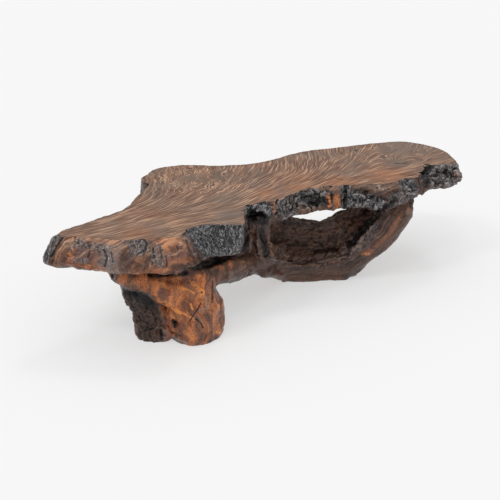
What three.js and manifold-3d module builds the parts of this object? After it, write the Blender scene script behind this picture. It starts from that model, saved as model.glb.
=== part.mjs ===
// A low table made from one redwood burl: a slab sawn flat on top, with its natural live edge, that
// stands on a bulbous left foot and on a hollow root, the cradle, joined by a short bridging root.
// Millimetres, +Z up, X along the table's length, the foot at the left and the near side at -Y.
import * as THREE from "three";
import { ImprovedNoise } from "three/addons/math/ImprovedNoise.js";
import { mergeVertices } from "three/addons/utils/BufferGeometryUtils.js";
import Module from "manifold-3d";

const wasm = await Module();
wasm.setup();

// Driving dimensions.
const TOP_HEIGHT = 380;
const NECK_HEIGHT = 265; // where the roots fork off the slab
const KERF = 0.4; // saw cut between two pieces
const UNDERSIDE_LOWEST = NECK_HEIGHT + 6;
const ROOT_TURN = THREE.MathUtils.degToRad(-38); // the roots lie across the slab at this angle
const FOOT_CENTRE = new THREE.Vector2(-385, -170);
const CRADLE_CENTRE = new THREE.Vector2(175, -43);
const FAR = 2000; // reach of a level cutting block
const SAW_SIZE = [KERF, 300, 240]; // an upright saw cut: width, length and height
// Where the roots are parted at their forks: a point of the cut, and the way it faces from +X.
const FOOT_FORK = { at: [-270, -140, 200], facing: 8 };
const CRADLE_FORK = { at: [-152, -150, 200], facing: 22 };
const SMALLEST_PIECE = 1e5; // cubic millimetres; a crumb left by the cuts is smaller

// Height and size across of the lumps that each form carries.
const RELIEF = {
  bark: [11, 60],
  ribs: [4, 11],
  rim: [6, 85],
  lip: [3, 60],
  underside: [9, 110],
  bulb: [7, 75],
  lobe: [8, 42],
  shoulder: [6, 60],
  bridge: [7, 55],
  waist: [4, 60],
  cradle: [9, 80],
  hollow: [9, 45],
};
// Points round each root, and steps along the swept ones.
const BULB_SIDES = 30;
const LOBE_SIDES = 24;
const SHOULDER_GRID = [16, 12];
const BRIDGE_GRID = [14, 14];
const WAIST_GRID = [30, 12];
const CRADLE_SIDES = 30;
const MOUTH_POINTS = 36;

// The slab's rim, counterclockwise from the left tip. Each row is a point of the sawn rim (x, y) and
// the point of the live edge's lip that lies below and outside it (x, y, z).
const RIM = [
  [-731, 49, -800, 58, 302],
  [-747, 10, -805, 4, 300],
  [-716, -22, -770, -38, 302],
  [-684, -54, -735, -80, 303],
  [-616, -132, -677, -158, 303],
  [-585, -150, -648, -180, 301],
  [-551, -163, -600, -232, 300],
  [-504, -194, -565, -264, 297],
  [-473, -204, -524, -283, 296],
  [-436, -196, -487, -285, 297],
  [-407, -180, -433, -268, 296],
  [-378, -181, -385, -240, 286],
  [-349, -181, -356, -222, 280],
  [-299, -221, -313, -230, 275],
  [-246, -262, -257, -260, 281],
  [-218, -231, -208, -212, 284],
  [-178, -171, -160, -172, 290],
  [-145, -138, -122, -160, 300],
  [-115, -127, -100, -168, 307],
  [-71, -141, -80, -180, 314],
  [-25, -157, -28, -184, 317],
  [20, -160, 12, -180, 319],
  [60, -148, 45, -180, 321],
  [98, -133, 88, -186, 321],
  [141, -136, 138, -200, 321],
  [184, -158, 186, -214, 321],
  [224, -180, 222, -234, 320],
  [263, -200, 252, -258, 318],
  [315, -229, 298, -296, 318],
  [354, -255, 334, -330, 313],
  [392, -275, 380, -345, 314],
  [430, -276, 425, -344, 318],
  [468, -273, 462, -330, 322],
  [515, -297, 510, -322, 330],
  [566, -263, 555, -314, 331],
  [608, -236, 580, -306, 333],
  [639, -223, 602, -326, 333],
  [664, -240, 630, -342, 332],
  [698, -258, 664, -346, 332],
  [733, -274, 708, -330, 334],
  [760, -248, 756, -288, 334],
  [777, -210, 800, -225, 326],
  [803, -156, 822, -160, 318],
  [804, -104, 827, -98, 312],
  [794, -47, 818, -30, 310],
  [771, 7, 795, 34, 306],
  [731, 40, 748, 74, 304],
  [684, 60, 697, 98, 304],
  [636, 82, 648, 122, 300],
  [588, 98, 600, 136, 304],
  [541, 111, 552, 152, 298],
  [470, 136, 482, 176, 300],
  [402, 162, 410, 202, 296],
  [315, 172, 318, 210, 300],
  [251, 166, 250, 206, 302],
  [183, 170, 190, 210, 298],
  [118, 184, 128, 222, 296],
  [67, 212, 82, 248, 294],
  [17, 241, 34, 278, 294],
  [-20, 276, -4, 312, 297],
  [-55, 310, -42, 345, 300],
  [-90, 332, -82, 360, 306],
  [-127, 344, -122, 368, 310],
  [-167, 353, -172, 370, 314],
  [-205, 340, -222, 356, 318],
  [-228, 314, -254, 326, 320],
  [-252, 282, -283, 290, 321],
  [-262, 254, -288, 258, 322],
  [-270, 231, -274, 236, 324],
  [-306, 211, -308, 224, 316],
  [-345, 188, -350, 204, 312],
  [-381, 159, -388, 180, 310],
  [-413, 130, -432, 160, 308],
  [-442, 103, -460, 134, 306],
  [-498, 81, -508, 115, 305],
  [-555, 70, -562, 102, 304],
  [-618, 63, -628, 96, 302],
  [-682, 56, -700, 88, 302],
];
const RIM_STEPS = 2; // points of the mesh for each row of the rim
// The live edge between rim and lip: places from 0 to 1, the powers that round it off, how far it
// swells between the two, and how soon its relief reaches full height.
const EDGE_PLACES = [0, 0.07, 0.3, 0.55, 0.8, 1];
const EDGE_OUT = 0.85;
const EDGE_DOWN = 1.2;
const EDGE_SWELL = 5;
const EDGE_FADE = 2.2;
// The slab's underside closes in on this line, given by its ends and the y it has at a few places.
const SPINE_ENDS = [-560, 640];
const SPINE = [
  [-560, -45],
  [-400, -35],
  [-270, 15],
  [-160, 65],
  [-40, 70],
  [90, 30],
  [250, -10],
  [430, -65],
  [640, -110],
];

// How far the underside has closed in, from 0 to 1, and how far it lies below the lip.
const UNDERSIDE = [
  [0.08, 14],
  [0.4, 28],
  [0.86, 36],
];

// The foot and the dark lobe behind it, in the roots' turned frame: height, middle (u, w), half sizes.
const FOOT_BULB = [
  [-12, 6, 0, 74, 88],
  [8, 4, 0, 90, 104],
  [35, 2, 0, 99, 110],
  [70, 0, 0, 103, 111],
  [105, -2, 0, 97, 108],
  [135, -6, 0, 88, 101],
  [165, -10, 2, 84, 97],
  [205, -18, 6, 90, 93],
  [245, -38, 18, 98, 88],
  [290, -52, 30, 112, 92],
];
const FOOT_LOBE = [
  [-12, -128, -14, 52, 60],
  [10, -127, -14, 64, 70],
  [45, -126, -8, 72, 74],
  [82, -128, 0, 74, 70],
  [115, -134, 8, 92, 74],
  [150, -140, 14, 103, 78],
  [220, -142, 18, 106, 86],
  [290, -140, 22, 112, 92],
];
// Root paths in the same frame: u, w, height, radius.
const SHOULDER = [
  [-10, -36, 130, 52],
  [-70, -58, 178, 54],
  [-130, -74, 218, 46],
  [-182, -80, 238, 42],
  [-221, -76, 247, 41],
  [-236, -52, 292, 42],
];
const FOOT_PIT = { centre: [-62, -104, 74], size: [13, 34, 23], relief: [3, 40] };

// Root paths in the table's frame: x, y, height, radius.
const BRIDGE = [
  [-350, -170, 205, 60],
  [-290, -188, 200, 47],
  [-235, -182, 188, 41],
  [-170, -152, 168, 38],
  [-105, -120, 152, 41],
  [-36, -86, 124, 48],
  [30, -62, 94, 48],
  [100, -66, 66, 34],
];
const BUTTRESS = [
  [-390, -110, 260, 50],
  [-310, -112, 246, 46],
  [-220, -108, 238, 46],
  [-140, -96, 240, 48],
  [-60, -84, 262, 56],
];
const WAIST = [
  [-104, -128, 330, 60],
  [-98, -136, 290, 47],
  [-88, -136, 240, 39],
  [-70, -122, 190, 40],
  [-34, -92, 146, 48],
  [18, -52, 112, 56],
  [78, -22, 92, 60],
];
const WAIST_FLUTES = 6;
const WAIST_FLUTE_DEPTH = 7;

// The cradle's outer form along its length, in its own turned frame: u, middle (w, z), half sizes.
const CRADLE = [
  [-178, -88, 240, 34, 84],
  [-150, -62, 205, 56, 122],
  [-112, -26, 172, 80, 152],
  [-62, -2, 158, 95, 168],
  [-24, 6, 102, 101, 114],
  [22, 9, 97, 102, 109],
  [80, 12, 96, 99, 108],
  [138, 10, 107, 93, 119],
  [176, 6, 122, 88, 134],
  [214, 1, 164, 82, 168],
  [262, -4, 190, 74, 136],
  [308, -9, 216, 64, 116],
  [352, -12, 242, 54, 92],
  [388, -14, 268, 46, 66],
  [406, -15, 282, 34, 44],
];
// The mouth of the cradle's hollow, seen from the near side: points (u, z), counterclockwise.
const MOUTH = [
  [-72, 90],
  [-20, 82],
  [50, 80],
  [120, 84],
  [172, 100],
  [208, 150],
  [250, 212],
  [296, 280],
  [312, 350],
  [150, 360],
  [-20, 360],
  [-98, 350],
  [-112, 270],
  [-116, 190],
  [-104, 122],
];
// How the hollow narrows with depth: w, and how far its outline has drawn in towards its middle.
const HOLLOW = [
  [-220, -0.05],
  [-110, 0.0],
  [-60, 0.07],
  [-15, 0.16],
  [20, 0.3],
  [44, 0.55],
];
const HOLLOW_MIDDLE = [95, 205];

// Hollows bitten out of the live edge, in the table's frame: centre, half sizes and relief.
const KNOT_HOLE = { centre: [-110, -166, 344], size: [34, 36, 25], relief: [5, 40] };
const RIM_BITE = { centre: [652, -296, 370], size: [66, 32, 25], relief: [8, 40] };

const noise = new ImprovedNoise();

// Rounded lumps about `size` across, between -1 and 1, with a second layer at under half that size.
function lumps(p, size) {
  const coarse = noise.noise(p.x / size + 7.3, p.y / size - 3.1, p.z / size + 1.7);
  const k = 2.3 / size;
  const fine = noise.noise(p.x * k - 5.2, p.y * k + 8.4, p.z * k + 2.9);
  return 1.25 * coarse + 0.6 * fine;
}

const bumps = (p, [height, size]) => height * lumps(p, size);

// Rough step-like ledges, as on torn bark.
function ledges(p, size) {
  const v = 2.2 * noise.noise(p.x / size, p.y / size, (2.4 * p.z) / size);
  return Math.round(v * 2) / 2 + 0.4 * lumps(p, size / 2);
}

// Turns (u, w, z) of the frame in which the roots are laid out to the table's frame.
function fromRoots(centre, u, w, z) {
  const flat = new THREE.Vector2(u, w).rotateAround(new THREE.Vector2(), ROOT_TURN).add(centre);
  return new THREE.Vector3(flat.x, flat.y, z);
}

function solidOf(points, faces) {
  const shape = new THREE.BufferGeometry().setFromPoints(points);
  shape.setIndex(faces);
  const merged = mergeVertices(shape, 1e-3);
  const make = (triVerts) =>
    new wasm.Manifold(
      new wasm.Mesh({ numProp: 3, vertProperties: merged.attributes.position.array, triVerts }),
    );
  const triVerts = new Uint32Array(merged.index.array);
  const made = make(triVerts);
  return made.volume() > 0 ? made : make(triVerts.reverse());
}

// Closes one end of a skin: flat outlines are cut into triangles, round ones meet in their middle.
function endFaces(ring, first, points, outline) {
  if (outline) {
    const flat = ring.map((p) => new THREE.Vector2(p.x, p.y));
    return THREE.ShapeUtils.triangulateShape(flat, []).map((t) => t.map((i) => first + i));
  }
  const middle = ring.reduce((sum, p) => sum.add(p), new THREE.Vector3()).divideScalar(ring.length);
  points.push(middle);
  return ring.map((_, i) => [first + i, first + ((i + 1) % ring.length), points.length - 1]);
}

// A closed body through rings that all have the same number of points.
function skin(rings, outline = false) {
  const count = rings[0].length;
  const points = rings.flat();
  const faces = [];
  for (let r = 0; r + 1 < rings.length; r++)
    for (let i = 0; i < count; i++) {
      const a = r * count + i;
      const b = r * count + ((i + 1) % count);
      faces.push([a, b, b + count], [a, b + count, a + count]);
    }
  const start = endFaces(rings[0], 0, points, outline).map((t) => [...t].reverse());
  const last = (rings.length - 1) * count;
  faces.push(...start, ...endFaces(rings[rings.length - 1], last, points, outline));
  return solidOf(points, faces.flat());
}

function blockSolid(sizes, place) {
  const shape = new THREE.BoxGeometry(...sizes).applyMatrix4(place);
  shape.deleteAttribute("normal");
  shape.deleteAttribute("uv");
  const merged = mergeVertices(shape);
  const p = merged.attributes.position;
  const points = Array.from({ length: p.count }, (_, i) => new THREE.Vector3().fromBufferAttribute(p, i));
  return solidOf(points, [...merged.index.array]);
}

// A lumpy ball with these half sizes.
function lumpSolid(centre, size, relief) {
  const shape = new THREE.IcosahedronGeometry(1, 3);
  shape.deleteAttribute("normal");
  shape.deleteAttribute("uv");
  const merged = mergeVertices(shape);
  const p = merged.attributes.position;
  const points = Array.from({ length: p.count }, (_, i) => {
    const out = new THREE.Vector3().fromBufferAttribute(p, i);
    const at = out.clone().multiply(new THREE.Vector3(...size)).add(centre);
    return at.addScaledVector(out, bumps(at, relief));
  });
  return solidOf(points, [...merged.index.array]);
}

// Reads a value between the rows of a table whose first column is the place.
function between(rows, place, column) {
  const next = rows.findIndex((row) => row[0] >= place);
  if (next <= 0) return (next === 0 ? rows[0] : rows[rows.length - 1])[column];
  const [a, b] = [rows[next - 1], rows[next]];
  return THREE.MathUtils.mapLinear(place, a[0], b[0], a[column], b[column]);
}

// How rough the live edge is at a place of the rim: torn bark at the near right, a charred block left
// of the knot hole, soft ribs at the front left, and gentle lumps behind.
function edgeRelief(p) {
  const nearRight = THREE.MathUtils.smoothstep(p.x, -60, 0) * THREE.MathUtils.smoothstep(-p.y, 60, 120);
  const frontLeft = THREE.MathUtils.smoothstep(-p.x, 400, 470) * THREE.MathUtils.smoothstep(-p.y, 0, 60);
  const [barkHeight, barkSize] = RELIEF.bark;
  const [ribHeight, ribSize] = RELIEF.ribs;
  const ribs = ribHeight * Math.sin(p.x / ribSize + 2 * lumps(p, ribSize * ribSize));
  return barkHeight * nearRight * ledges(p, barkSize) + frontLeft * ribs + bumps(p, RELIEF.rim);
}

function slabRings() {
  const rim = new THREE.CatmullRomCurve3(
    RIM.map(([x, y]) => new THREE.Vector3(x, y, TOP_HEIGHT)),
    true,
  );
  const lip = new THREE.CatmullRomCurve3(
    RIM.map(([, , x, y, z]) => new THREE.Vector3(x, y, z)),
    true,
  );
  const count = RIM.length * RIM_STEPS;
  const pairs = Array.from({ length: count }, (_, i) => [rim.getPoint(i / count), lip.getPoint(i / count)]);
  const edge = EDGE_PLACES.map((f) =>
    pairs.map(([top, low]) => {
      const out = low.clone().sub(top).setZ(0).normalize();
      const at = top.clone().lerp(low, f ** EDGE_OUT);
      at.z = THREE.MathUtils.lerp(top.z, low.z, f ** EDGE_DOWN);
      const fade = Math.min(1, EDGE_FADE * f);
      const move = fade * edgeRelief(at) + EDGE_SWELL * Math.sin(Math.PI * f);
      return f === 0 ? at : at.addScaledVector(out, move).setZ(at.z + fade * bumps(at, RELIEF.lip));
    }),
  );
  const under = UNDERSIDE.map(([draw, drop]) =>
    edge[edge.length - 1].map((p) => {
      const x = THREE.MathUtils.lerp(p.x, THREE.MathUtils.clamp(p.x, ...SPINE_ENDS), draw);
      const y = THREE.MathUtils.lerp(p.y, between(SPINE, p.x, 1), draw);
      const at = new THREE.Vector3(x, y, p.z - drop);
      at.z = Math.max(at.z + bumps(at, RELIEF.underside), UNDERSIDE_LOWEST);
      return at;
    }),
  );
  return [...edge, ...under];
}

function makeSlab() {
  const [knotHole, rimBite] = [KNOT_HOLE, RIM_BITE].map(({ centre, size, relief }) =>
    lumpSolid(new THREE.Vector3(...centre), size, relief),
  );
  return skin(slabRings(), true).subtract(knotHole).subtract(rimBite);
}

// An upright root of level rings, from rows of height, middle and half sizes.
function uprightRoot(rows, sides, relief) {
  const rings = rows.map(([z, u, w, ru, rw]) =>
    Array.from({ length: sides }, (_, i) => {
      const a = (2 * Math.PI * i) / sides;
      const at = fromRoots(FOOT_CENTRE, u + ru * Math.cos(a), w + rw * Math.sin(a), z);
      const out = fromRoots(FOOT_CENTRE, u, w, z).sub(at).normalize().negate();
      return at.addScaledVector(out, bumps(at, relief));
    }),
  );
  return skin(rings);
}

// A root that follows a path of points with a radius at each. `relief` gives what the place and the
// angle round the root add to the radius.
function sweptRoot(points, radii, [sides, steps], relief) {
  const path = new THREE.CatmullRomCurve3(points);
  const frames = path.computeFrenetFrames(steps);
  const rows = radii.map((r, i) => [i / (radii.length - 1), r]);
  const rings = Array.from({ length: steps + 1 }, (_, k) => {
    const t = k / steps;
    const middle = path.getPointAt(t);
    const radius = between(rows, path.getUtoTmapping(t), 1);
    return Array.from({ length: sides }, (_, i) => {
      const a = (2 * Math.PI * i) / sides;
      const out = frames.normals[k].clone().multiplyScalar(Math.cos(a));
      out.addScaledVector(frames.binormals[k], Math.sin(a));
      const at = middle.clone().addScaledVector(out, radius);
      return at.addScaledVector(out, relief(at, a));
    });
  });
  return skin(rings);
}

function makeFoot() {
  const bulb = uprightRoot(FOOT_BULB, BULB_SIDES, RELIEF.bulb);
  const lobe = uprightRoot(FOOT_LOBE, LOBE_SIDES, RELIEF.lobe);
  const points = SHOULDER.map(([u, w, z]) => fromRoots(FOOT_CENTRE, u, w, z));
  const radii = SHOULDER.map((row) => row[3]);
  const shoulder = sweptRoot(points, radii, SHOULDER_GRID, (p) => bumps(p, RELIEF.shoulder));
  const pit = lumpSolid(fromRoots(FOOT_CENTRE, ...FOOT_PIT.centre), FOOT_PIT.size, FOOT_PIT.relief);
  return bulb.add(lobe).add(shoulder).subtract(pit);
}

function makeBridge() {
  const roots = [BRIDGE, BUTTRESS].map((rows) => {
    const points = rows.map(([x, y, z]) => new THREE.Vector3(x, y, z));
    const radii = rows.map((row) => row[3]);
    return sweptRoot(points, radii, BRIDGE_GRID, (p) => bumps(p, RELIEF.bridge));
  });
  return roots[0].add(roots[1]);
}

function makeWaist() {
  const points = WAIST.map(([x, y, z]) => new THREE.Vector3(x, y, z));
  const flutes = (p, a) => WAIST_FLUTE_DEPTH * Math.cos(WAIST_FLUTES * a) + bumps(p, RELIEF.waist);
  const radii = WAIST.map((row) => row[3]);
  return sweptRoot(points, radii, WAIST_GRID, flutes);
}

function makeCradle() {
  const rings = CRADLE.map(([u, w, z, rw, rz]) =>
    Array.from({ length: CRADLE_SIDES }, (_, i) => {
      const a = (2 * Math.PI * i) / CRADLE_SIDES;
      const out = new THREE.Vector2(Math.cos(a), Math.sin(a));
      const at = fromRoots(CRADLE_CENTRE, u, w + rw * out.x, z + rz * out.y);
      const grow = bumps(at, RELIEF.cradle);
      return fromRoots(CRADLE_CENTRE, u, w + (rw + grow) * out.x, z + (rz + grow) * out.y);
    }),
  );
  const mouth = new THREE.CatmullRomCurve3(
    MOUTH.map(([u, z]) => new THREE.Vector3(u, z, 0)),
    true,
  ).getPoints(MOUTH_POINTS);
  mouth.pop();
  const [middleU, middleZ] = HOLLOW_MIDDLE;
  const hollow = HOLLOW.map(([w, draw]) =>
    mouth.map((p) => {
      const u = THREE.MathUtils.lerp(p.x, middleU, draw);
      const z = THREE.MathUtils.lerp(p.y, middleZ, draw);
      const at = fromRoots(CRADLE_CENTRE, u, w, z);
      return at.setZ(at.z + bumps(at, RELIEF.hollow));
    }),
  );
  return skin(rings).subtract(skin(hollow));
}

// A thin upright saw cut, square to the direction `facing` in degrees from +X.
function uprightCut({ at, facing }) {
  const place = new THREE.Matrix4().makeRotationZ(THREE.MathUtils.degToRad(facing));
  return blockSolid(SAW_SIZE, place.setPosition(...at));
}

function levelBlock(low, high) {
  const place = new THREE.Matrix4().makeTranslation(0, 0, (low + high) / 2);
  return blockSolid([FAR, FAR, high - low], place);
}

function meshOf(solid, name, color, roughness) {
  const cut = solid.getMesh();
  const shape = new THREE.BufferGeometry();
  shape.setAttribute("position", new THREE.BufferAttribute(new Float32Array(cut.vertProperties), 3));
  shape.setIndex(new THREE.BufferAttribute(new Uint32Array(cut.triVerts), 1));
  const flat = shape.toNonIndexed();
  flat.computeVertexNormals();
  const mesh = new THREE.Mesh(flat, new THREE.MeshStandardMaterial({ color, roughness, metalness: 0 }));
  mesh.name = name;
  return mesh;
}

const largest = (solid) => solid.decompose().sort((a, b) => b.volume() - a.volume())[0];

const slab = makeSlab();
const grown = slab.add(makeFoot()).add(makeBridge()).add(makeWaist()).add(makeCradle());
const above = levelBlock(NECK_HEIGHT + KERF / 2, TOP_HEIGHT + FAR);
const below = levelBlock(0, NECK_HEIGHT - KERF / 2);
const top = largest(grown.intersect(above));
const roots = grown.intersect(below).subtract(uprightCut(FOOT_FORK)).subtract(uprightCut(CRADLE_FORK));
const fromLeft = (a, b) => a.boundingBox().min[0] - b.boundingBox().min[0];
const parted = roots.decompose().filter((piece) => piece.volume() > SMALLEST_PIECE);
const [foot, bridge, cradle] = parted.sort(fromLeft);

const burl = new THREE.Group();
burl.add(meshOf(top, "burl_top", 0x6b4a33, 0.45));
burl.add(meshOf(foot, "left_foot", 0x8a4a22, 0.4));
burl.add(meshOf(bridge, "bridge_root", 0x4a3022, 0.5));
burl.add(meshOf(cradle, "root_cradle", 0x3a2720, 0.5));

// The origin is on the floor below the middle of the table's box.
const box = new THREE.Box3().setFromObject(burl);
const middle = box.getCenter(new THREE.Vector3());
burl.position.set(-middle.x, -middle.y, 0);

export default burl;
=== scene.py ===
"""Low table of one redwood burl: the grown body, cut into its pieces, with finishes and a stage."""

import itertools
import math

import bmesh
import bpy
import numpy as np
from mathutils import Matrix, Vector
from mathutils.bvhtree import BVHTree
from mathutils.geometry import delaunay_2d_cdt
from mathutils.kdtree import KDTree


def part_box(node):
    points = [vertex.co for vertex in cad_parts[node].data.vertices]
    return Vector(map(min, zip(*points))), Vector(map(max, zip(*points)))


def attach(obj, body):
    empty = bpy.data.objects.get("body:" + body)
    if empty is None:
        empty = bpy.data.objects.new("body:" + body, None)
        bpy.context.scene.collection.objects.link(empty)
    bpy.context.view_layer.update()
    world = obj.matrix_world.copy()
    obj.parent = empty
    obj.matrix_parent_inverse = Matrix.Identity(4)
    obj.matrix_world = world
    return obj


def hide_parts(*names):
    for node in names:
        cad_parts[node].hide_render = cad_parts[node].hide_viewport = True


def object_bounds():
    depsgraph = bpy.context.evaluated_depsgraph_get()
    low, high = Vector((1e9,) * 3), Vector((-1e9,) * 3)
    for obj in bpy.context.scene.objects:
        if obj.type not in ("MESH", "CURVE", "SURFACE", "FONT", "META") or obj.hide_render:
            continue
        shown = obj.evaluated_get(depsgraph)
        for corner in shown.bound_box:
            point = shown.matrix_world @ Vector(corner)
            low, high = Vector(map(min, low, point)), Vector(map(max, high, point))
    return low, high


bl_info = {
    "name": "Redwood burl low table",
    "version": (1, 0, 0),
    "blender": (4, 5, 0),
    "location": "3D View > Sidebar > Burl table",
    "description": "Grows, cuts and finishes a low table made from one redwood burl",
    "category": "Add Mesh",
}

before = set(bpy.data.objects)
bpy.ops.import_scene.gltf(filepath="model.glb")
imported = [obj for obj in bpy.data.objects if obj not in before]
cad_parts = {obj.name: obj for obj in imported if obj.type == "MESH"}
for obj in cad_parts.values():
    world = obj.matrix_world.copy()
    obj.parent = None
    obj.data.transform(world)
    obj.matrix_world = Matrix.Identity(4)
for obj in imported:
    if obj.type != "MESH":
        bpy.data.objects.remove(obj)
CAD_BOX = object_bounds()

MM = 0.001
ROOT_NODES = ("left_foot", "bridge_root", "root_cradle")
TOP_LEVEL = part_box("burl_top")[1].z
NECK_LEVEL = (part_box("burl_top")[0].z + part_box("root_cradle")[1].z) / 2
UP = Vector((0, 0, 1))
# Where the roots part at their forks: a point of each upright cut, and the way it faces from +X.
FOOT_FORK = (Vector((-0.2814, -0.1537, 0.0)), 8.0)
CRADLE_FORK = (Vector((-0.1634, -0.1637, 0.0)), 22.0)
FLAT_LIFT = 22 * MM  # how far a sawn face is drawn out before smoothing, so that its rim stays in place
HOLLOW_MIDDLE = (0.225, 0.38)  # the roots' u and height that the cradle's grain runs round
PAPER_GLOW = 0.5  # light that comes through the studio's paper floor
SMALLEST_SHARE = 0.02  # of a cut piece's points; a smaller loose bit is dropped

# The photograph's camera. The roots lie square to it, so its heading also gives their own two
# level directions: u to the right across the picture, and w away from the camera.
PHOTO_SIZE = 500
SENSOR = 36.0
CAMERA_LENS = 77.76
CAMERA_AZIMUTH = math.radians(-38)
CAMERA_ELEVATION = math.radians(24)
CAMERA_DISTANCE = 3.6
CAMERA_TARGET = Vector((-0.1864, -0.2167, 0.25))
U_WAY = Vector((math.cos(CAMERA_AZIMUTH), math.sin(CAMERA_AZIMUTH), 0))
W_WAY = Vector((-math.sin(CAMERA_AZIMUTH), math.cos(CAMERA_AZIMUTH), 0))
CAMERA_BACK = -W_WAY * math.cos(CAMERA_ELEVATION) + UP * math.sin(CAMERA_ELEVATION)
CAMERA_UP = W_WAY * math.sin(CAMERA_ELEVATION) + UP * math.cos(CAMERA_ELEVATION)
CAMERA_PLACE = CAMERA_TARGET + CAMERA_BACK * CAMERA_DISTANCE

# Carved marks, each a path of points in the photograph's frame with its width and its height in
# millimetres. A path lies on the surface that the camera sees there. Below 0 it is cut in.
CARVED = {
    "waist flutes": [
        ([(250, 224), (247, 237), (244, 251)], 6, -9),
        ([(255, 226), (254, 240), (252, 253)], 5, -6),
        ([(259.5, 229), (261.5, 243), (264, 257)], 6, -10),
        ([(262, 232), (265, 243), (269.5, 254)], 7, -12),
    ],
    "cleft beside the arm": [
        ([(386, 207), (378, 214), (369, 222), (358, 234), (348, 246)], 11, -22),
        ([(352, 232), (344, 240), (337, 251)], 8, -8),
    ],
    "cradle folds": [
        ([(276, 253), (290, 259), (306, 262), (322, 258), (338, 252)], 8, -9),
        ([(296, 243), (312, 249), (330, 247)], 9, -7),
        ([(300, 226), (322, 224), (345, 219), (365, 211)], 9, -6),
        ([(310, 234), (330, 233), (352, 226)], 8, 5),
    ],
    "foot flank": [
        ([(162, 311), (164, 317), (165, 323)], 8, 9),
    ],
    "window edges": [
        ([(298, 213), (316, 209.5), (333, 207)], 9, 6),
        ([(300, 223), (318, 222), (332, 218), (342, 212)], 9, 7),
    ],
    "tip": [
        ([(56, 240), (48, 256)], 26, 11),
    ],
    "cradle's near edge": [
        ([(285, 277), (310, 278), (345, 276)], 20, 15),
        ([(263, 272), (272, 272.5), (284, 275)], 15, 20),
    ],
    "bark grooves": [
        ([(345.5, 187), (345, 196), (344, 205)], 6, -12),
        ([(331, 196), (336, 203), (340, 208)], 6, -10),
        ([(305, 196), (318, 197), (328, 200)], 8, -9),
        ([(277, 196), (278, 206), (277, 214)], 5, -6),
        ([(364, 192), (376, 199), (388, 197)], 5, -6),
        ([(352, 199), (370, 203), (384, 206)], 5, -6),
        ([(404, 184), (406, 195), (412, 203)], 8, -10),
    ],
    "bark ledges": [
        ([(356, 190), (366, 188), (378, 191)], 7, 7),
        ([(380, 196), (390, 191), (402, 188)], 6, 8),
        ([(286, 192), (300, 189), (318, 189)], 8, 6),
        ([(350, 196), (362, 198)], 7, 6),
        ([(349, 203), (364, 206)], 7, 6),
        ([(394, 200), (404, 199)], 7, 7),
        ([(413, 186), (416, 189)], 12, 9),
        ([(417, 196), (416, 200)], 10, 8),
    ],
    "end hollows": [
        ([(421, 193), (430, 188.5), (441, 187)], 15, -24),
        ([(428, 169), (424, 175), (421, 181)], 13, -14),
        ([(434, 184), (444, 179), (450, 176)], 8, -9),
        ([(427, 164), (430, 166)], 7, -12),
        ([(436, 171), (446, 169), (453, 167)], 9, 7),
        ([(452, 171), (458, 176), (460, 182)], 9, 6),
    ],
    "charred block": [
        ([(187, 230), (195, 243), (204, 257)], 6, -7),
        ([(212, 228), (214, 242), (217, 253)], 4, 4),
        ([(226, 227), (228, 240), (231, 251)], 4, 4),
        ([(238, 232), (240, 246)], 5, -4),
        ([(200, 233), (206, 247)], 4, -4),
        ([(221, 231), (223, 246)], 4, -4),
        ([(243.5, 229), (246, 243)], 6, -7),
    ],
    "live edge": [
        ([(63, 231), (54, 246), (47, 259)], 7, -8),
        ([(66, 243), (62, 262)], 8, 5),
        ([(92, 243), (90, 266)], 6, -3),
        ([(113, 248), (103, 268)], 9, 4),
        ([(125, 252), (118, 270)], 6, -4),
        ([(137, 254), (134, 271)], 10, 4),
        ([(148, 247), (147, 271)], 7, -3),
        ([(165, 245), (168, 268)], 6, -4),
        ([(178, 245), (181, 264)], 6, 3),
        ([(190, 250), (197, 262)], 5, -6),
    ],
    "foot seams": [
        ([(202, 303), (198, 309), (194, 315), (190, 322)], 4, -4),
        ([(190, 317), (184, 315), (176, 311)], 4, 4),
        ([(197, 318), (203, 325), (204, 331)], 4, -4),
        ([(121, 288), (141, 288), (152, 295), (160, 307), (164, 316)], 6, 6),
        ([(160, 330), (172, 340), (186, 346)], 5, -5),
        ([(213, 282), (213, 297), (215, 306)], 5, -5),
        ([(181, 286), (193, 294), (198, 296)], 5, 5),
        ([(150, 276), (170, 281), (190, 280)], 8, -5),
        ([(172, 296), (183, 306), (190, 312)], 8, -4),
        ([(205, 338), (214, 330), (220, 318)], 6, -4),
        ([(130, 273), (133, 289)], 6, -6),
    ],
    "gap under the slab": [
        ([(187, 270), (200, 268), (214, 262), (228, 257)], 10, -14),
        ([(150, 274), (170, 275), (186, 272)], 7, -8),
    ],
    "limb": [
        ([(226, 276), (240, 272), (252, 264)], 6, -4),
        ([(232, 262), (244, 262)], 6, 4),
    ],
}
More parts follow.
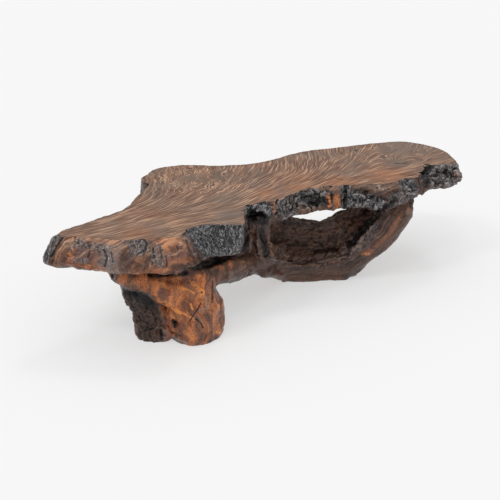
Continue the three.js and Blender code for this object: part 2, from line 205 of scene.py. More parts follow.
# Round marks in the same way: a point, its radius and its height.
DIMPLES = [
    ((150.0, 174.5), 46, 30),
    ((148.5, 178.5), 17, 10),
    ((143.5, 187.5), 16, -30),
    ((144.0, 191.0), 8, -10),
    ((110.5, 276.0), 10, -18),
    ((119.0, 285.0), 10, 20),
    ((250.0, 273.0), 12, -22),
    ((425.0, 191.5), 14, -9),
    ((437.0, 187.5), 12, -6),
    ((174.2, 324.0), 9, -30),
    ((140.0, 305.0), 9, -10),
    ((167.0, 336.0), 15, 14),
    ((147.0, 330.0), 8, -7),
    ((151.0, 314.0), 12, 7),
    ((139.0, 318.0), 11, -7),
    ((201.4, 292.2), 4.5, -6),
    ((201.4, 292.2), 13, 4),
    ((191.0, 331.0), 24, 5),
    ((256.0, 208.0), 17, 16),
    ((250.0, 204.0), 12, 6),
    ((252.0, 219.0), 10, -16),
    ((262.0, 219.0), 12, -22),
    ((292.0, 204.0), 12, -9),
    ((297.0, 209.0), 9, 7),
    ((320.0, 206.0), 8, 6),
    ((357.0, 205.0), 10, 6),
    ((137.0, 246.0), 17, -5),
    ((76.0, 236.0), 8, -4),
    ((108.0, 256.0), 13, -4),
    ((229.0, 263.0), 9, 6),
    ((70.0, 256.0), 14, -4),
    ((285.0, 239.0), 18, -9),
    ((312.0, 238.0), 14, -6),
    ((337.0, 232.0), 16, 6),
    ((322.0, 254.0), 14, 6),
    ((381.0, 232.0), 20, 5),
    ((367.0, 251.0), 9, 4),
]

# Paint marks: where the surface is charred, brown as the sawn face, orange or golden; where it has rubbed
# wear and painted glints;
# where it is dark wood or painted shade falls in gaps, clefts and pits; and where it is folded, pitted or
# craggy. Each is a path in the photograph's frame, its radius in millimetres and its strength.
PAINT = {
    "char": [
        ([(196, 232), (215, 231), (238, 231)], 38, 1.0),
        ([(203, 243), (222, 243), (240, 240)], 38, 1.0),
        ([(208, 252), (226, 250), (240, 246)], 26, 1.0),
        ([(246, 207), (258, 205), (266, 210)], 32, 1.0),
        ([(285, 205), (288, 214)], 36, 0.7),
        ([(300, 196), (318, 197)], 34, 0.8),
        ([(345, 186), (345, 206)], 18, 1.0),
        ([(352, 199), (366, 202), (380, 204)], 34, 0.9),
        ([(390, 203), (404, 196)], 24, 0.6),
        ([(404, 183), (412, 190), (418, 198)], 26, 0.9),
        ([(424, 170), (436, 178), (452, 180)], 40, 0.7),
        ([(427, 165), (440, 170), (456, 170)], 26, 0.8),
        ([(61, 233), (53, 245), (46, 258)], 17, 0.9),
        ([(154, 169), (151, 172), (149, 178)], 26, 1.0),
        ([(136, 242), (138, 248)], 30, 0.75),
        ([(103, 250), (109, 262)], 24, 0.6),
        ([(155, 251), (161, 262)], 20, 0.55),
        ([(78, 243), (100, 247)], 14, 0.5),
        ([(76, 260), (86, 262)], 10, 0.5),
        ([(200, 229), (238, 227)], 12, 1.0),
        ([(300, 222), (330, 224)], 30, 0.3),
        ([(350, 250), (366, 238), (372, 228)], 24, 0.35),
    ],
    "brown": [
        ([(64, 240), (100, 246), (150, 250), (176, 250)], 60, 1.0),
        ([(60, 254), (100, 262), (150, 266), (178, 262)], 40, 0.9),
        ([(352, 187), (376, 187), (402, 184)], 17, 0.5),
        ([(300, 189), (338, 187)], 12, 0.5),
        ([(218, 276), (232, 266), (246, 262)], 30, 0.35),
        ([(134, 303), (141, 318), (145, 332)], 36, 0.3),
        ([(282, 236), (310, 240), (345, 236)], 75, 0.5),
        ([(284, 252), (312, 250), (340, 246)], 40, 0.45),
        ([(252, 226), (254, 252)], 22, 0.2),
        ([(275, 275), (310, 279), (340, 272)], 30, 0.2),
        ([(406, 215), (396, 235), (375, 255)], 40, 0.35),
        ([(127, 275), (133, 284)], 30, 0.6),
        ([(160, 330), (175, 340), (190, 346)], 30, 0.5),
        ([(212, 282), (214, 300)], 22, 0.6),
        ([(200, 308), (212, 325)], 40, 0.7),
    ],
    "warm": [
        ([(147, 280), (161, 285), (176, 296)], 40, 0.75),
        ([(165, 290), (185, 290), (198, 286)], 50, 0.95),
        ([(172, 302), (186, 306), (196, 300)], 48, 0.85),
        ([(185, 325), (200, 335), (190, 340)], 42, 0.7),
        ([(168, 308), (171, 318), (171, 331)], 20, 0.8),
        ([(205, 290), (210, 310), (208, 326)], 46, 0.5),
        ([(218, 298), (220, 330)], 30, 0.75),
        ([(121, 281), (124, 275)], 15, 0.6),
        ([(70, 255), (72, 258)], 16, 0.6),
        ([(66, 237), (90, 240), (118, 241)], 12, 0.3),
        ([(66, 263), (90, 267), (104, 271)], 9, 0.6),
        ([(152, 240), (160, 240)], 14, 0.45),
        ([(169, 242), (178, 248)], 24, 0.4),
        ([(168, 262), (190, 260)], 14, 0.3),
        ([(140, 271), (172, 270)], 8, 0.35),
        ([(328, 197), (329, 205)], 9, 0.95),
        ([(337, 198), (339, 207)], 13, 0.6),
        ([(273, 203), (274, 212)], 9, 0.6),
        ([(229, 262), (230, 264)], 10, 0.7),
        ([(364, 254), (372, 251)], 10, 0.5),
        ([(376, 247), (390, 233), (401, 214)], 8, 0.2),
        ([(382, 206), (387, 203)], 9, 0.7),
        ([(455, 172), (457, 175)], 12, 0.6),
        ([(148, 183), (150, 185)], 9, 1.0),
        ([(212, 265), (222, 268)], 8, 0.35),
        ([(278, 279), (300, 281)], 8, 0.5),
        ([(330, 279), (340, 277)], 8, 0.45),
    ],
    "gold": [
        ([(178, 287), (186, 289), (194, 293)], 4, 0.9),
        ([(191, 282), (195, 285), (198, 288)], 6, 0.6),
        ([(198.6, 291), (201, 289), (204, 291), (204, 294), (201, 296), (199, 294)], 3.2, 1.0),
        ([(171.8, 309), (176, 311), (181, 313)], 5, 1.0),
        ([(181, 313), (187, 315), (191.8, 317.5)], 3.2, 0.9),
        ([(190.6, 304), (192.5, 309)], 4, 0.9),
        ([(206, 297), (207, 303)], 3, 0.4),
        ([(218.6, 305), (219, 309)], 5, 0.8),
        ([(217.6, 332), (220, 333)], 5, 0.9),
        ([(186, 332), (192, 338)], 9, 0.4),
        ([(160, 285), (168, 288)], 6, 0.45),
        ([(165, 302), (171, 305)], 6, 0.5),
        ([(183, 299), (188, 302)], 3, 0.3),
        ([(366, 254), (369, 254)], 5, 0.5),
        ([(330, 198), (329, 203)], 4, 0.6),
        ([(164, 246), (168, 250)], 4, 0.4),
        ([(70, 254), (72, 257)], 6, 0.3),
    ],
    # Rubbed wear and painted glints: light lines and spots on ridges, ledges and knobs where lacquer catches
    # the light; the two wide marks lay a faint painted sheen over the cradle's hollow.
    "worn": [
        ([(282, 236), (310, 240), (345, 236)], 75, 0.16),
        ([(284, 253), (312, 251), (340, 246)], 40, 0.2),
        ([(247, 203), (254, 201), (262, 204)], 2.6, 0.8),
        ([(268, 207), (270, 216)], 2.2, 0.7),
        ([(283, 198), (296, 193), (304, 194)], 2.4, 0.8),
        ([(352, 196), (360, 197), (366, 200)], 2.4, 0.8),
        ([(350, 204), (358, 203)], 2.2, 0.7),
        ([(376, 204), (384, 207), (390, 204)], 2.4, 0.8),
        ([(430, 172), (438, 170), (448, 169)], 2.4, 0.7),
        ([(436, 181), (446, 178)], 2.4, 0.7),
        ([(452, 172), (458, 177), (459, 183)], 2.4, 0.7),
        ([(202, 228), (203, 236)], 2.2, 0.9),
        ([(212, 231), (214, 245)], 2.4, 0.9),
        ([(229, 232), (230, 246)], 2.2, 0.9),
        ([(236, 236), (240, 250)], 2.2, 0.8),
        ([(196, 242), (202, 255)], 2.2, 0.7),
        ([(284, 255), (293, 260), (304, 260)], 2.2, 0.6),
        ([(318, 256), (326, 252), (338, 249)], 2.2, 0.6),
        ([(300, 246), (310, 243), (318, 246)], 2.2, 0.5),
        ([(344, 244), (352, 236), (360, 231)], 2.2, 0.6),
        ([(320, 228), (334, 227), (346, 222)], 2.2, 0.5),
        ([(187.5, 248), (191, 254), (195, 261)], 2.8, 0.9),
        ([(221, 238), (222, 246), (223, 253)], 2.8, 0.9),
        ([(371, 193.5), (377, 195), (381, 199), (392, 196.5), (399, 194)], 3.7, 1.0),
        ([(393, 207), (401, 206)], 3.7, 0.9),
        ([(352, 189), (362, 188)], 2.8, 0.6),
        ([(372, 200), (377, 204)], 2.8, 0.7),
        ([(410, 186), (414, 184.5), (418, 187)], 3.7, 1.0),
        ([(239, 214), (245, 225)], 2.8, 0.8),
        ([(160, 329), (171, 335.5), (186, 343)], 6, 0.55),
        ([(272, 259), (286, 262), (302, 262)], 4, 0.45),
        ([(318, 262), (332, 259), (346, 257)], 5, 0.55),
        ([(249.5, 228), (251, 240), (250, 252)], 3.7, 0.5),
        ([(256, 230), (257.5, 242), (259, 254)], 3.7, 0.5),
        ([(238, 256), (244, 252)], 2.8, 0.5),
        ([(120, 270), (150, 273), (176, 272)], 3.7, 0.4),
        ([(56, 256), (58, 258)], 2.5, 0.7),
        ([(80, 257), (84, 259)], 3.1, 0.7),
        ([(112, 268), (116, 270)], 2.5, 0.6),
        ([(205, 296), (206, 306)], 3.7, 0.5),
        ([(199, 311), (208, 308)], 4.7, 0.4),
    ],
    # Painted shade and dark wood: black in the gap under the slab, in the cleft beside the arm, in the waist
    # flutes, in the foot's pit and cracks and on the lobe under the foot's overhang, where shade falls; the
    # short marks on the live edge are dark streaks and pits of the wood itself.
    "dark": [
        ([(128, 292), (140, 294), (148, 300)], 30, 0.9),
        ([(133, 305), (143, 318), (146, 333)], 40, 0.5),
        ([(186, 271), (205, 265), (226, 258)], 15, 1.0),
        ([(150, 275), (186, 273)], 9, 0.9),
        ([(173.4, 321.5), (175, 326)], 8, 1.0),
        ([(161, 330), (162, 339)], 6, 0.9),
        ([(249, 217), (264, 219)], 22, 1.0),
        ([(249, 224), (246, 238), (244, 250)], 8, 1.0),
        ([(261, 230), (263, 243), (266, 255)], 10, 1.0),
        ([(386, 207), (368, 223), (350, 245)], 15, 1.0),
        ([(345.5, 186), (345, 206)], 7, 0.9),
        ([(303, 198), (324, 203)], 18, 0.8),
        ([(430, 166), (424, 172), (426, 182)], 16, 1.0),
        ([(245, 229), (247, 245)], 9, 0.9),
        ([(316, 252), (336, 250)], 10, 0.7),
        ([(270, 257), (290, 261), (308, 261)], 5, 0.8),
        ([(395, 199), (389, 206)], 8, 0.7),
        ([(66, 232), (52, 256)], 5, 0.9),
        ([(430, 173), (446, 178)], 30, 0.3),
        ([(354, 188), (376, 188), (400, 185)], 13, 0.3),
        ([(128, 240), (134, 237.5), (142, 238), (147, 243), (145, 250), (138, 254)], 3.5, 0.8),
        ([(88, 243), (90, 250), (88, 257)], 3.5, 0.6),
        ([(104, 250), (107, 258), (105, 266)], 5, 0.7),
        ([(98, 247), (99, 255)], 3, 0.5),
        ([(111, 252), (113, 262)], 3.5, 0.6),
        ([(153, 248), (154, 258), (152, 264)], 4, 0.7),
        ([(160, 247), (162, 258)], 3.5, 0.6),
        ([(166, 256), (167, 266)], 3.5, 0.6),
        ([(177, 246), (179, 256)], 3, 0.5),
        ([(78, 240), (79, 247)], 3, 0.5),
        ([(186, 240), (189, 250), (194, 258)], 3, 0.6),
        ([(62, 262), (84, 265), (104, 270)], 3, 0.4),
        ([(201.4, 292), (201.6, 292.4)], 3, 1.0),
        ([(201, 303), (198, 309), (194, 314), (190, 321)], 1.8, 0.9),
        ([(196, 319), (201, 323), (203, 328)], 2.5, 0.9),
        ([(212.5, 281), (212.5, 302)], 4, 0.7),
    ],
    "folded": [
        ([(134, 300), (140, 315), (144, 334)], 50, 0.8),
        ([(276, 228), (300, 238), (330, 240), (356, 228)], 60, 0.75),
        ([(272, 250), (300, 252), (318, 256), (340, 250)], 40, 1.0),
        ([(350, 232), (360, 222), (376, 210)], 34, 0.7),
        ([(338, 256), (352, 240), (362, 232)], 22, 1.0),
        ([(255, 226), (258, 252)], 26, 0.6),
        ([(176, 334), (166, 330)], 26, 0.5),
    ],
    "pitted": [
        ([(80, 245), (100, 250)], 26, 0.8),
        ([(105, 255), (112, 262)], 26, 0.8),
        ([(155, 250), (160, 264)], 22, 0.8),
        ([(70, 252), (74, 262)], 14, 0.8),
        ([(132, 243), (142, 250)], 22, 0.8),
        ([(200, 236), (236, 236), (212, 250)], 36, 0.6),
        ([(280, 202), (292, 210)], 36, 0.9),
        ([(138, 305), (143, 330)], 46, 0.6),
        ([(440, 176), (454, 176)], 36, 0.9),
    ],
    "craggy": [
        ([(246, 207), (266, 210)], 40, 0.9),
        ([(283, 200), (310, 200), (326, 199)], 42, 0.9),
        ([(350, 199), (366, 201), (380, 203)], 40, 1.0),
        ([(384, 200), (402, 197)], 30, 0.8),
        ([(412, 188), (417, 198)], 30, 0.9),
        ([(424, 172), (440, 178), (456, 176)], 46, 1.0),
        ([(270, 204), (274, 214)], 22, 0.8),
        ([(342, 252), (362, 236)], 22, 0.7),
    ],
}
# On the sides that the photograph doesn't show: how wide each kind of patch is, in millimetres, and
# how far it spreads.
HIDDEN_PATCHES = {
    "char": (130, 0.5), "brown": (210, 0.8), "warm": (160, 0.38), "gold": (24, 0.2), "dark": (90, 0.35),
    "worn": (40, 0.1), "folded": (150, 0.45), "pitted": (110, 0.5), "craggy": (120, 0.4),
}

# The way the grain runs in the sawn face: a place (x, y) in millimetres and its angle from +X.
GRAIN_WAYS = [
    (-690, -110, -24), (-670, -10, -2), (-585, -68, -3), (-506, -16, 10), (-450, -120, -12),
    (-422, 40, 10), (-353, 139, 46), (-341, 33, 25), (-345, -134, -14), (-286, -180, -23),
    (-270, 254, 60), (-180, 172, 55), (-88, 112, 45), (-88, 65, 34), (-164, 2, 19), (-60, 290, 60),
    (-2, -112, 1), (5, 15, 33), (12, 163, 46), (111, -30, 24), (150, -102, 6), (223, 60, 48),
    (220, 150, 60), (341, 43, 45), (367, 80, 60), (356, -30, 24), (448, -48, 26), (448, 60, 56),
    (354, -225, -16), (489, -237, -13), (518, -178, -20), (600, -60, 16), (686, -162, -5),
    (640, 30, 34), (740, -60, 30),
]
GRAIN_GRID = 14.0  # millimetres between the places where the grain is solved
GRAIN_STEPS = 500
GRAIN_OCTAVES = (-1, 0, 1, 2)
GRAIN_STIFFNESS = 30.0  # how much more the grain's direction counts than its spacing
# Where the figure curls like lace, in millimetres: its middle, how far it reaches, how far its lines are
# pushed aside, and how wide and how long the curls are. Beyond it the lines waver by GRAIN_WAVER.
LACE_PLACE = (-175, 180)
LACE_REACH = 150.0
LACE_SWAY = 13.0
LACE_WIDE = 26.0
LACE_LONG = 34.0
GRAIN_WAVER = 38.0
# Eyes that the grain runs round: a place (x, y) and its reach, and how far the lines are pushed aside.
EYES = [(690, -150, 30), (620, -20, 34), (560, -110, 26), (700, -20, 24), (430, 20, 22), (640, -190, 18)]
EYE_LIFT = 16.0
# Cracks cut into the sawn face: a path of points (x, y), half width and depth, all in millimetres.
CRACKS = [
    ([(546, -153), (562, -163), (581, -180)], 4.0, 5.0),
    ([(530, 42), (536, 46)], 4.5, 5.0),
    ([(475, -249), (490, -272), (504, -300)], 2.5, 2.5),
    ([(262, -130), (272, -165)], 2.0, 1.5),
]
# Greyed and tawny clouds of the sawn face: places (x, y), reach and strength.
GREY_CLOUDS = [
    ((-244, -173), 45, 0.8), ((-146, 184), 34, 0.6), ((-330, -60), 70, 0.25), ((700, -60), 110, 0.6),
    ((560, -170), 50, 0.5), ((60, 230), 60, 0.35), ((320, 150), 60, 0.3), ((-620, -60), 60, 0.3),
    ((-690, -150), 30, 0.6), ((-180, -60), 50, 0.3), ((532, 44), 12, 0.9),
]
TAWNY_CLOUDS = [
    ((98, -135), 50, 0.5), ((-20, -100), 45, 0.35), ((250, -180), 60, 0.45), ((430, -230), 70, 0.5),
    ((-420, -40), 60, 0.2), ((-560, -110), 60, 0.3), ((160, -60), 60, 0.25),
]
# Under marks of PAINT finer than this, in millimetres, the mesh is split into finer faces.
FINE_BELOW = 9
FINE_CUTS = 2
FLATTENING = 0.65  # how far depth is left out when a mark's distance is measured, so it reaches into pits
TOP_GRID = 9 * MM  # between the mesh points of the sawn face, and of its cracks
CRACK_GRID = 2 * MM
ROW_SPACING = 0.87  # of a step between rows of points, which gives even triangles
CLEAR_OF_RIM = 0.7  # of TOP_GRID is kept free between the sawn face's points and its outline
RELIEF_KINDS = ("folded", "pitted", "craggy")
RELIEF_STILL = 0.12  # the share of folds, crags and pits that every surface has
CAVITY_DEPTH = 2.2 * MM  # how deep under the smoothed surface a hollow counts in full, for the painted shade in hollows and the painted highlight on ridges
WAVE_SWAY = 9.0  # how far noise bends the even waves of the grain
WAY_REACH = 30.0  # millimetres about each of GRAIN_WAYS where it rules, and how fast it fades beyond
WAY_FALLOFF = 1.6
BORDER_SIZE = 22 * MM  # unevenness of a paint mark's border, and its share of the mark's radius
BORDER_SWAY = 0.4
MARK_FADE = (1.35, 0.55)  # distances, in radii, at which a paint mark ends and at which it is full
RIM_FADE = (12 * MM, 2 * MM)  # the same for the dark line inside the sawn face's far rim
ROOT_FINISH = "gloss_lacquered_redwood_root"
BURL_FINISH = "satin_lacquered_redwood_burl"

# Places, in metres, between which a kind of relief or of grain comes in: along X, Y, height or the roots' u.
RIGHT_HALF_X = (-0.10, 0.0)
NEAR_SIDE_Y = (0.0, -0.08)
EDGE_HEIGHT = (0.27, 0.30)
UNDERSIDE_HEIGHT = (0.262, 0.27)
LEFT_END_X = (-0.38, -0.46)
LEFT_END_HEIGHT = (0.27, 0.29)
BEYOND_FOOT_X = (-0.4, -0.2)
FOOT_X = (-0.24, -0.28)
ARM_U = (0.30, 0.38)
ARM_HEIGHT = (0.29, 0.25)
SLAB_HEIGHT = (0.272, 0.285)


def linear(code):
    """An sRGB hex colour as linear red, green, blue and alpha."""
    parts = [int(code[i : i + 2], 16) / 255 for i in (1, 3, 5)]
    return [c / 12.92 if c <= 0.04045 else ((c + 0.055) / 1.055) ** 2.4 for c in parts] + [1.0]


# Noise
PERMUTED = np.random.default_rng(7).permutation(256)
GRADIENTS = np.array([g for g in itertools.product((-1, 0, 1), repeat=3) if sum(map(abs, g)) == 2], float)


def noise(points, size, seed=0):
    """Rounded random relief about `size` across, from about -1 to 1."""
    p = points / size + 31.7 * seed
    cell = np.floor(p).astype(int)
    inside = p - cell
    fade = inside**3 * (inside * (inside * 6 - 15) + 10)
    total = np.zeros(len(p))
    for corner in itertools.product((0, 1), repeat=3):
        x, y, z = ((cell + corner) & 255).T
        chosen = PERMUTED[(PERMUTED[(PERMUTED[x] + y) & 255] + z) & 255]
        slope = ((inside - corner) * GRADIENTS[chosen % 12]).sum(1)
        total += slope * np.where(corner, fade, 1 - fade).prod(1)
    return 1.4 * total


def layered(points, size, seed=0, layers=3):
    """Noise with finer layers on it, each half as large and half as high."""
    return sum(noise(points, size / 2**k, seed + k) / 2**k for k in range(layers))


def smoothstep(low, high, x):
    t = np.clip((x - low) / (high - low), 0, 1)
    return t * t * (3 - 2 * t)


def turned(points):
    """Points in the roots' own frame: u across the picture, w away from the camera, and height."""
    return np.stack([points @ np.array(U_WAY), points @ np.array(W_WAY), points[:, 2]], 1)


def distance_to(points, path):
    """How far each point lies from a path of points."""
    path = np.array(path, float)
    if len(path) == 1:
        return np.linalg.norm(points - path[0], axis=1)
    best = np.full(len(points), np.inf)
    for a, b in zip(path[:-1], path[1:]):
        along = b - a
        t = np.clip((points - a) @ along / max(along @ along, 1e-12), 0, 1)
        best = np.minimum(best, np.linalg.norm(points - a - t[:, None] * along, axis=1))
    return best


# Meshes
def places(mesh):
    out = np.empty(len(mesh.vertices) * 3)
    mesh.vertices.foreach_get("co", out)
    return out.reshape(-1, 3)


def set_places(mesh, points):
    mesh.vertices.foreach_set("co", points.astype(np.float32).ravel())
    mesh.update()


def ways_out(mesh):
    out = np.empty(len(mesh.vertices) * 3)
    mesh.vertex_normals.foreach_get("vector", out)
    return out.reshape(-1, 3)


def set_values(mesh, name, values):
    """Stores a number for each point of a mesh."""
    layer = mesh.attributes.get(name) or mesh.attributes.new(name, "FLOAT", "POINT")
    layer.data.foreach_set("value", values.astype(np.float32))


def finished_mesh(mesh, *modifiers):
    """A mesh after modifiers, each given as its kind and its settings."""
    holder = bpy.data.objects.new("holder", mesh)
    bpy.context.scene.collection.objects.link(holder)
    for kind, settings in modifiers:
        modifier = holder.modifiers.new(kind.lower(), kind)
        for key, value in settings.items():
            setattr(modifier, key, value)
    evaluated = holder.evaluated_get(bpy.context.evaluated_depsgraph_get())
    made = bpy.data.meshes.new_from_object(evaluated)
    bpy.data.objects.remove(holder)
    bpy.data.meshes.remove(mesh)
    return made


def gentle_smoothing(steps):
    """Modifiers that take facets off without thinning the form: each step shrinks, then swells."""
    return [("SMOOTH", {"factor": factor, "iterations": 1}) for _ in range(steps) for factor in (0.5, -0.52)]


def smoothed(mesh, steps):
    return finished_mesh(mesh.copy(), ("SMOOTH", {"factor": 0.5, "iterations": steps}))


def solid_copy(node):
    """A copy of a node's mesh with its sawn faces drawn out, as a bmesh."""
    bm = bmesh.new()
    bm.from_mesh(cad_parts[node].data)
    bmesh.ops.remove_doubles(bm, verts=bm.verts, dist=0.01 * MM)
    for level, lift in ((TOP_LEVEL, FLAT_LIFT), (0.0, -FLAT_LIFT)):
        flat = [f for f in bm.faces if all(abs(v.co.z - level) < 0.05 * MM for v in f.verts)]
        if flat:
            made = bmesh.ops.extrude_face_region(bm, geom=flat)["geom"]
            drawn = [v for v in made if isinstance(v, bmesh.types.BMVert)]
            bmesh.ops.translate(bm, verts=drawn, vec=(0, 0, lift))
    return bm


def joined_body():
    """All the CAD solids in one mesh."""
    whole = bpy.data.meshes.new("joined")
    all_parts = bmesh.new()
    for node in ("burl_top", *ROOT_NODES):
        part = solid_copy(node)
        part.to_mesh(whole)
        part.free()
        all_parts.from_mesh(whole)
    all_parts.to_mesh(whole)
    all_parts.free()
    return whole


# Marks placed by the photograph
def pixel_ray(pixel):
    """The way from the camera through a pixel of the photograph."""
    right, down = [(value - PHOTO_SIZE / 2) / PHOTO_SIZE * SENSOR / CAMERA_LENS for value in pixel]
    return (U_WAY * right - CAMERA_UP * down - CAMERA_BACK).normalized()


def picked(tree, pixels):
    """The points of the surface that the camera sees at these pixels."""
    hits = [tree.ray_cast(CAMERA_PLACE, pixel_ray(pixel))[0] for pixel in pixels]
    return [hit for hit in hits if hit is not None]


def flattened(points):
    """Points drawn together along the camera's view, towards a plane that stands square to it."""
    back = np.array(CAMERA_BACK)
    points = np.asarray(points, float).reshape(-1, 3)
    return points - FLATTENING * (points @ back)[:, None] * back


def carve(points, out, tree):
    """Cuts in and raises the marks of CARVED and DIMPLES."""
    marks = [mark for group in CARVED.values() for mark in group]
    marks += [([pixel], radius, height) for pixel, radius, height in DIMPLES]
    height = np.zeros(len(points))
    for pixels, width, rise in marks:
        path = picked(tree, pixels)
        if path:
            away = distance_to(points, path) / (width * MM)
            height += rise * MM * np.exp(-(away**2))
    return points + out * height[:, None]


def painted(points, out, tree, name):
    """How strongly a kind of paint covers each point, with an uneven border."""
    uneven = 1 + BORDER_SWAY * layered(points, BORDER_SIZE, seed=5)
    size, spread = HIDDEN_PATCHES[name]
    away = smoothstep(0.0, -0.35, out @ np.array(CAMERA_BACK))
    patches = layered(points, size * MM, seed=20 + list(PAINT).index(name))
    below_rim = smoothstep(TOP_LEVEL - 8 * MM, TOP_LEVEL - 40 * MM, points[:, 2])
    cover = 0.8 * away * below_rim * smoothstep(1.05 - spread, 1.45 - spread, patches + 0.5)
    flat = flattened(points)
    for pixels, radius, strength in PAINT[name]:
        path = picked(tree, pixels)
        if path:
            near = distance_to(flat, flattened(path)) / (radius * MM * uneven)
            cover = np.maximum(cover, strength * smoothstep(*MARK_FADE, near))
    return cover


def refined(mesh, tree):
    """Splits the faces under the fine marks, so that the marks can be stored there crisply."""
    flat = flattened(places(mesh))
    near = np.zeros(len(flat), bool)
    for marks in PAINT.values():
        for pixels, radius, _ in marks:
            path = picked(tree, pixels)
            if path and radius < FINE_BELOW:
                near |= distance_to(flat, flattened(path)) < (1.5 * radius + 3) * MM
    bm = bmesh.new()
    bm.from_mesh(mesh)
    bm.verts.ensure_lookup_table()
    edges = [e for e in bm.edges if near[e.verts[0].index] and near[e.verts[1].index]]
    bmesh.ops.subdivide_edges(bm, edges=edges, cuts=FINE_CUTS, use_grid_fill=True, smooth=1.0)
    bm.to_mesh(mesh)
    bm.free()


def coarse_relief(points, out):
    """Lumps as wide as a hand or a thumb: strongest on the live edge's near right, soft on the foot."""
    x, y, z = points.T
    near_right = smoothstep(*RIGHT_HALF_X, x) * smoothstep(*NEAR_SIDE_Y, y)
    on_edge = smoothstep(*EDGE_HEIGHT, z) * smoothstep(0.5, 0.2, np.abs(out[:, 2]))
    under = smoothstep(-0.2, -0.7, out[:, 2]) * smoothstep(*UNDERSIDE_HEIGHT, z)
    left = smoothstep(*LEFT_END_X, x) * smoothstep(*LEFT_END_HEIGHT, z)
    down_slope = turned(points) * (1, 0.3, 0.3)
    height = 1.2 * layered(points, 55 * MM, seed=1)
    height += near_right * on_edge * 5.0 * (1 - 2 * np.abs(layered(points, 48 * MM, seed=2)))
    height += (1 - near_right) * on_edge * 1.5 * layered(points, 30 * MM, seed=3)
    height += left * (1 - under) * 2.4 * noise(down_slope, 17 * MM, seed=4)
    height += under * 3.0 * layered(points, 60 * MM, seed=6) * smoothstep(*BEYOND_FOOT_X, x)
    return points + out * (height * MM)[:, None]


def held_in_box(points):
    """Keeps points inside the CAD box, but for the level faces that are cut off later."""
    low, high = CAD_BOX
    edge = 0.3 * MM
    for axis in (0, 1):
        points[:, axis] = np.clip(points[:, axis], low[axis] + edge, high[axis] - edge)
    return points


def root_flow(points):
    """Distance across the grain of the roots, in metres: round the cradle's hollow, down the foot."""
    u, w, z = turned(points).T
    sway = layered(points, 70 * MM, seed=8, layers=2)
    round_hollow = np.hypot(u - HOLLOW_MIDDLE[0], z - HOLLOW_MIDDLE[1]) + 0.3 * w + 7 * MM * sway
    down_foot = u + 0.5 * w + 26 * MM * layered(points, 110 * MM, seed=9)
    return round_hollow + (down_foot - round_hollow) * smoothstep(*FOOT_X, points[:, 0])


def edge_flow(points):
    """Distance across the streaks that run down the live edge, in metres."""
    u, w, _ = turned(points).T
    return u + 0.25 * w + 5 * MM * layered(points, 50 * MM, seed=18, layers=2)


def grain_relief(points):
    """Fine lines along the grain, clearest on the cradle's arm, in metres."""
    u, _, z = turned(points).T
    lines = noise(np.stack([root_flow(points) / 8, points[:, 0] / 60, z / 60], 1), 1 * MM, seed=8)
    on_arm = smoothstep(*ARM_U, u) * smoothstep(*ARM_HEIGHT, z)
    return lines * (0.35 + 0.9 * on_arm) * MM


def add_node(tree, kind, settings=None, inputs=None):
    """Adds a node, sets it up, and links or sets its inputs by name or number."""
    node = tree.nodes.new(kind)
    for key, value in (settings or {}).items():
        setattr(node, key, value)
    for key, value in (inputs or {}).items():
        if isinstance(value, bpy.types.NodeSocket):
            tree.links.new(value, node.inputs[key])
        else:
            node.inputs[key].default_value = value
    return node


def maths(tree, operation, *values, **settings):
    """The result of an arithmetic node."""
    node = add_node(tree, "ShaderNodeMath", {"operation": operation, **settings}, dict(enumerate(values)))
    return node.outputs[0]


def noise_texture(tree, place, scale, detail, roughness=0.5, distortion=0.0):
    return add_node(tree, "ShaderNodeTexNoise", {},
                    {"Vector": place, "Scale": scale, "Detail": detail, "Roughness": roughness,
                     "Distortion": distortion})


RELIEF_INPUTS = (
    ("Fold size", "fold_size"),
    ("Fold height", "fold_height"),
    ("Crag size", "crag_size"),
    ("Crag height", "crag_height"),
    ("Pit size", "pit_size"),
    ("Pit depth", "pit_depth"),
)


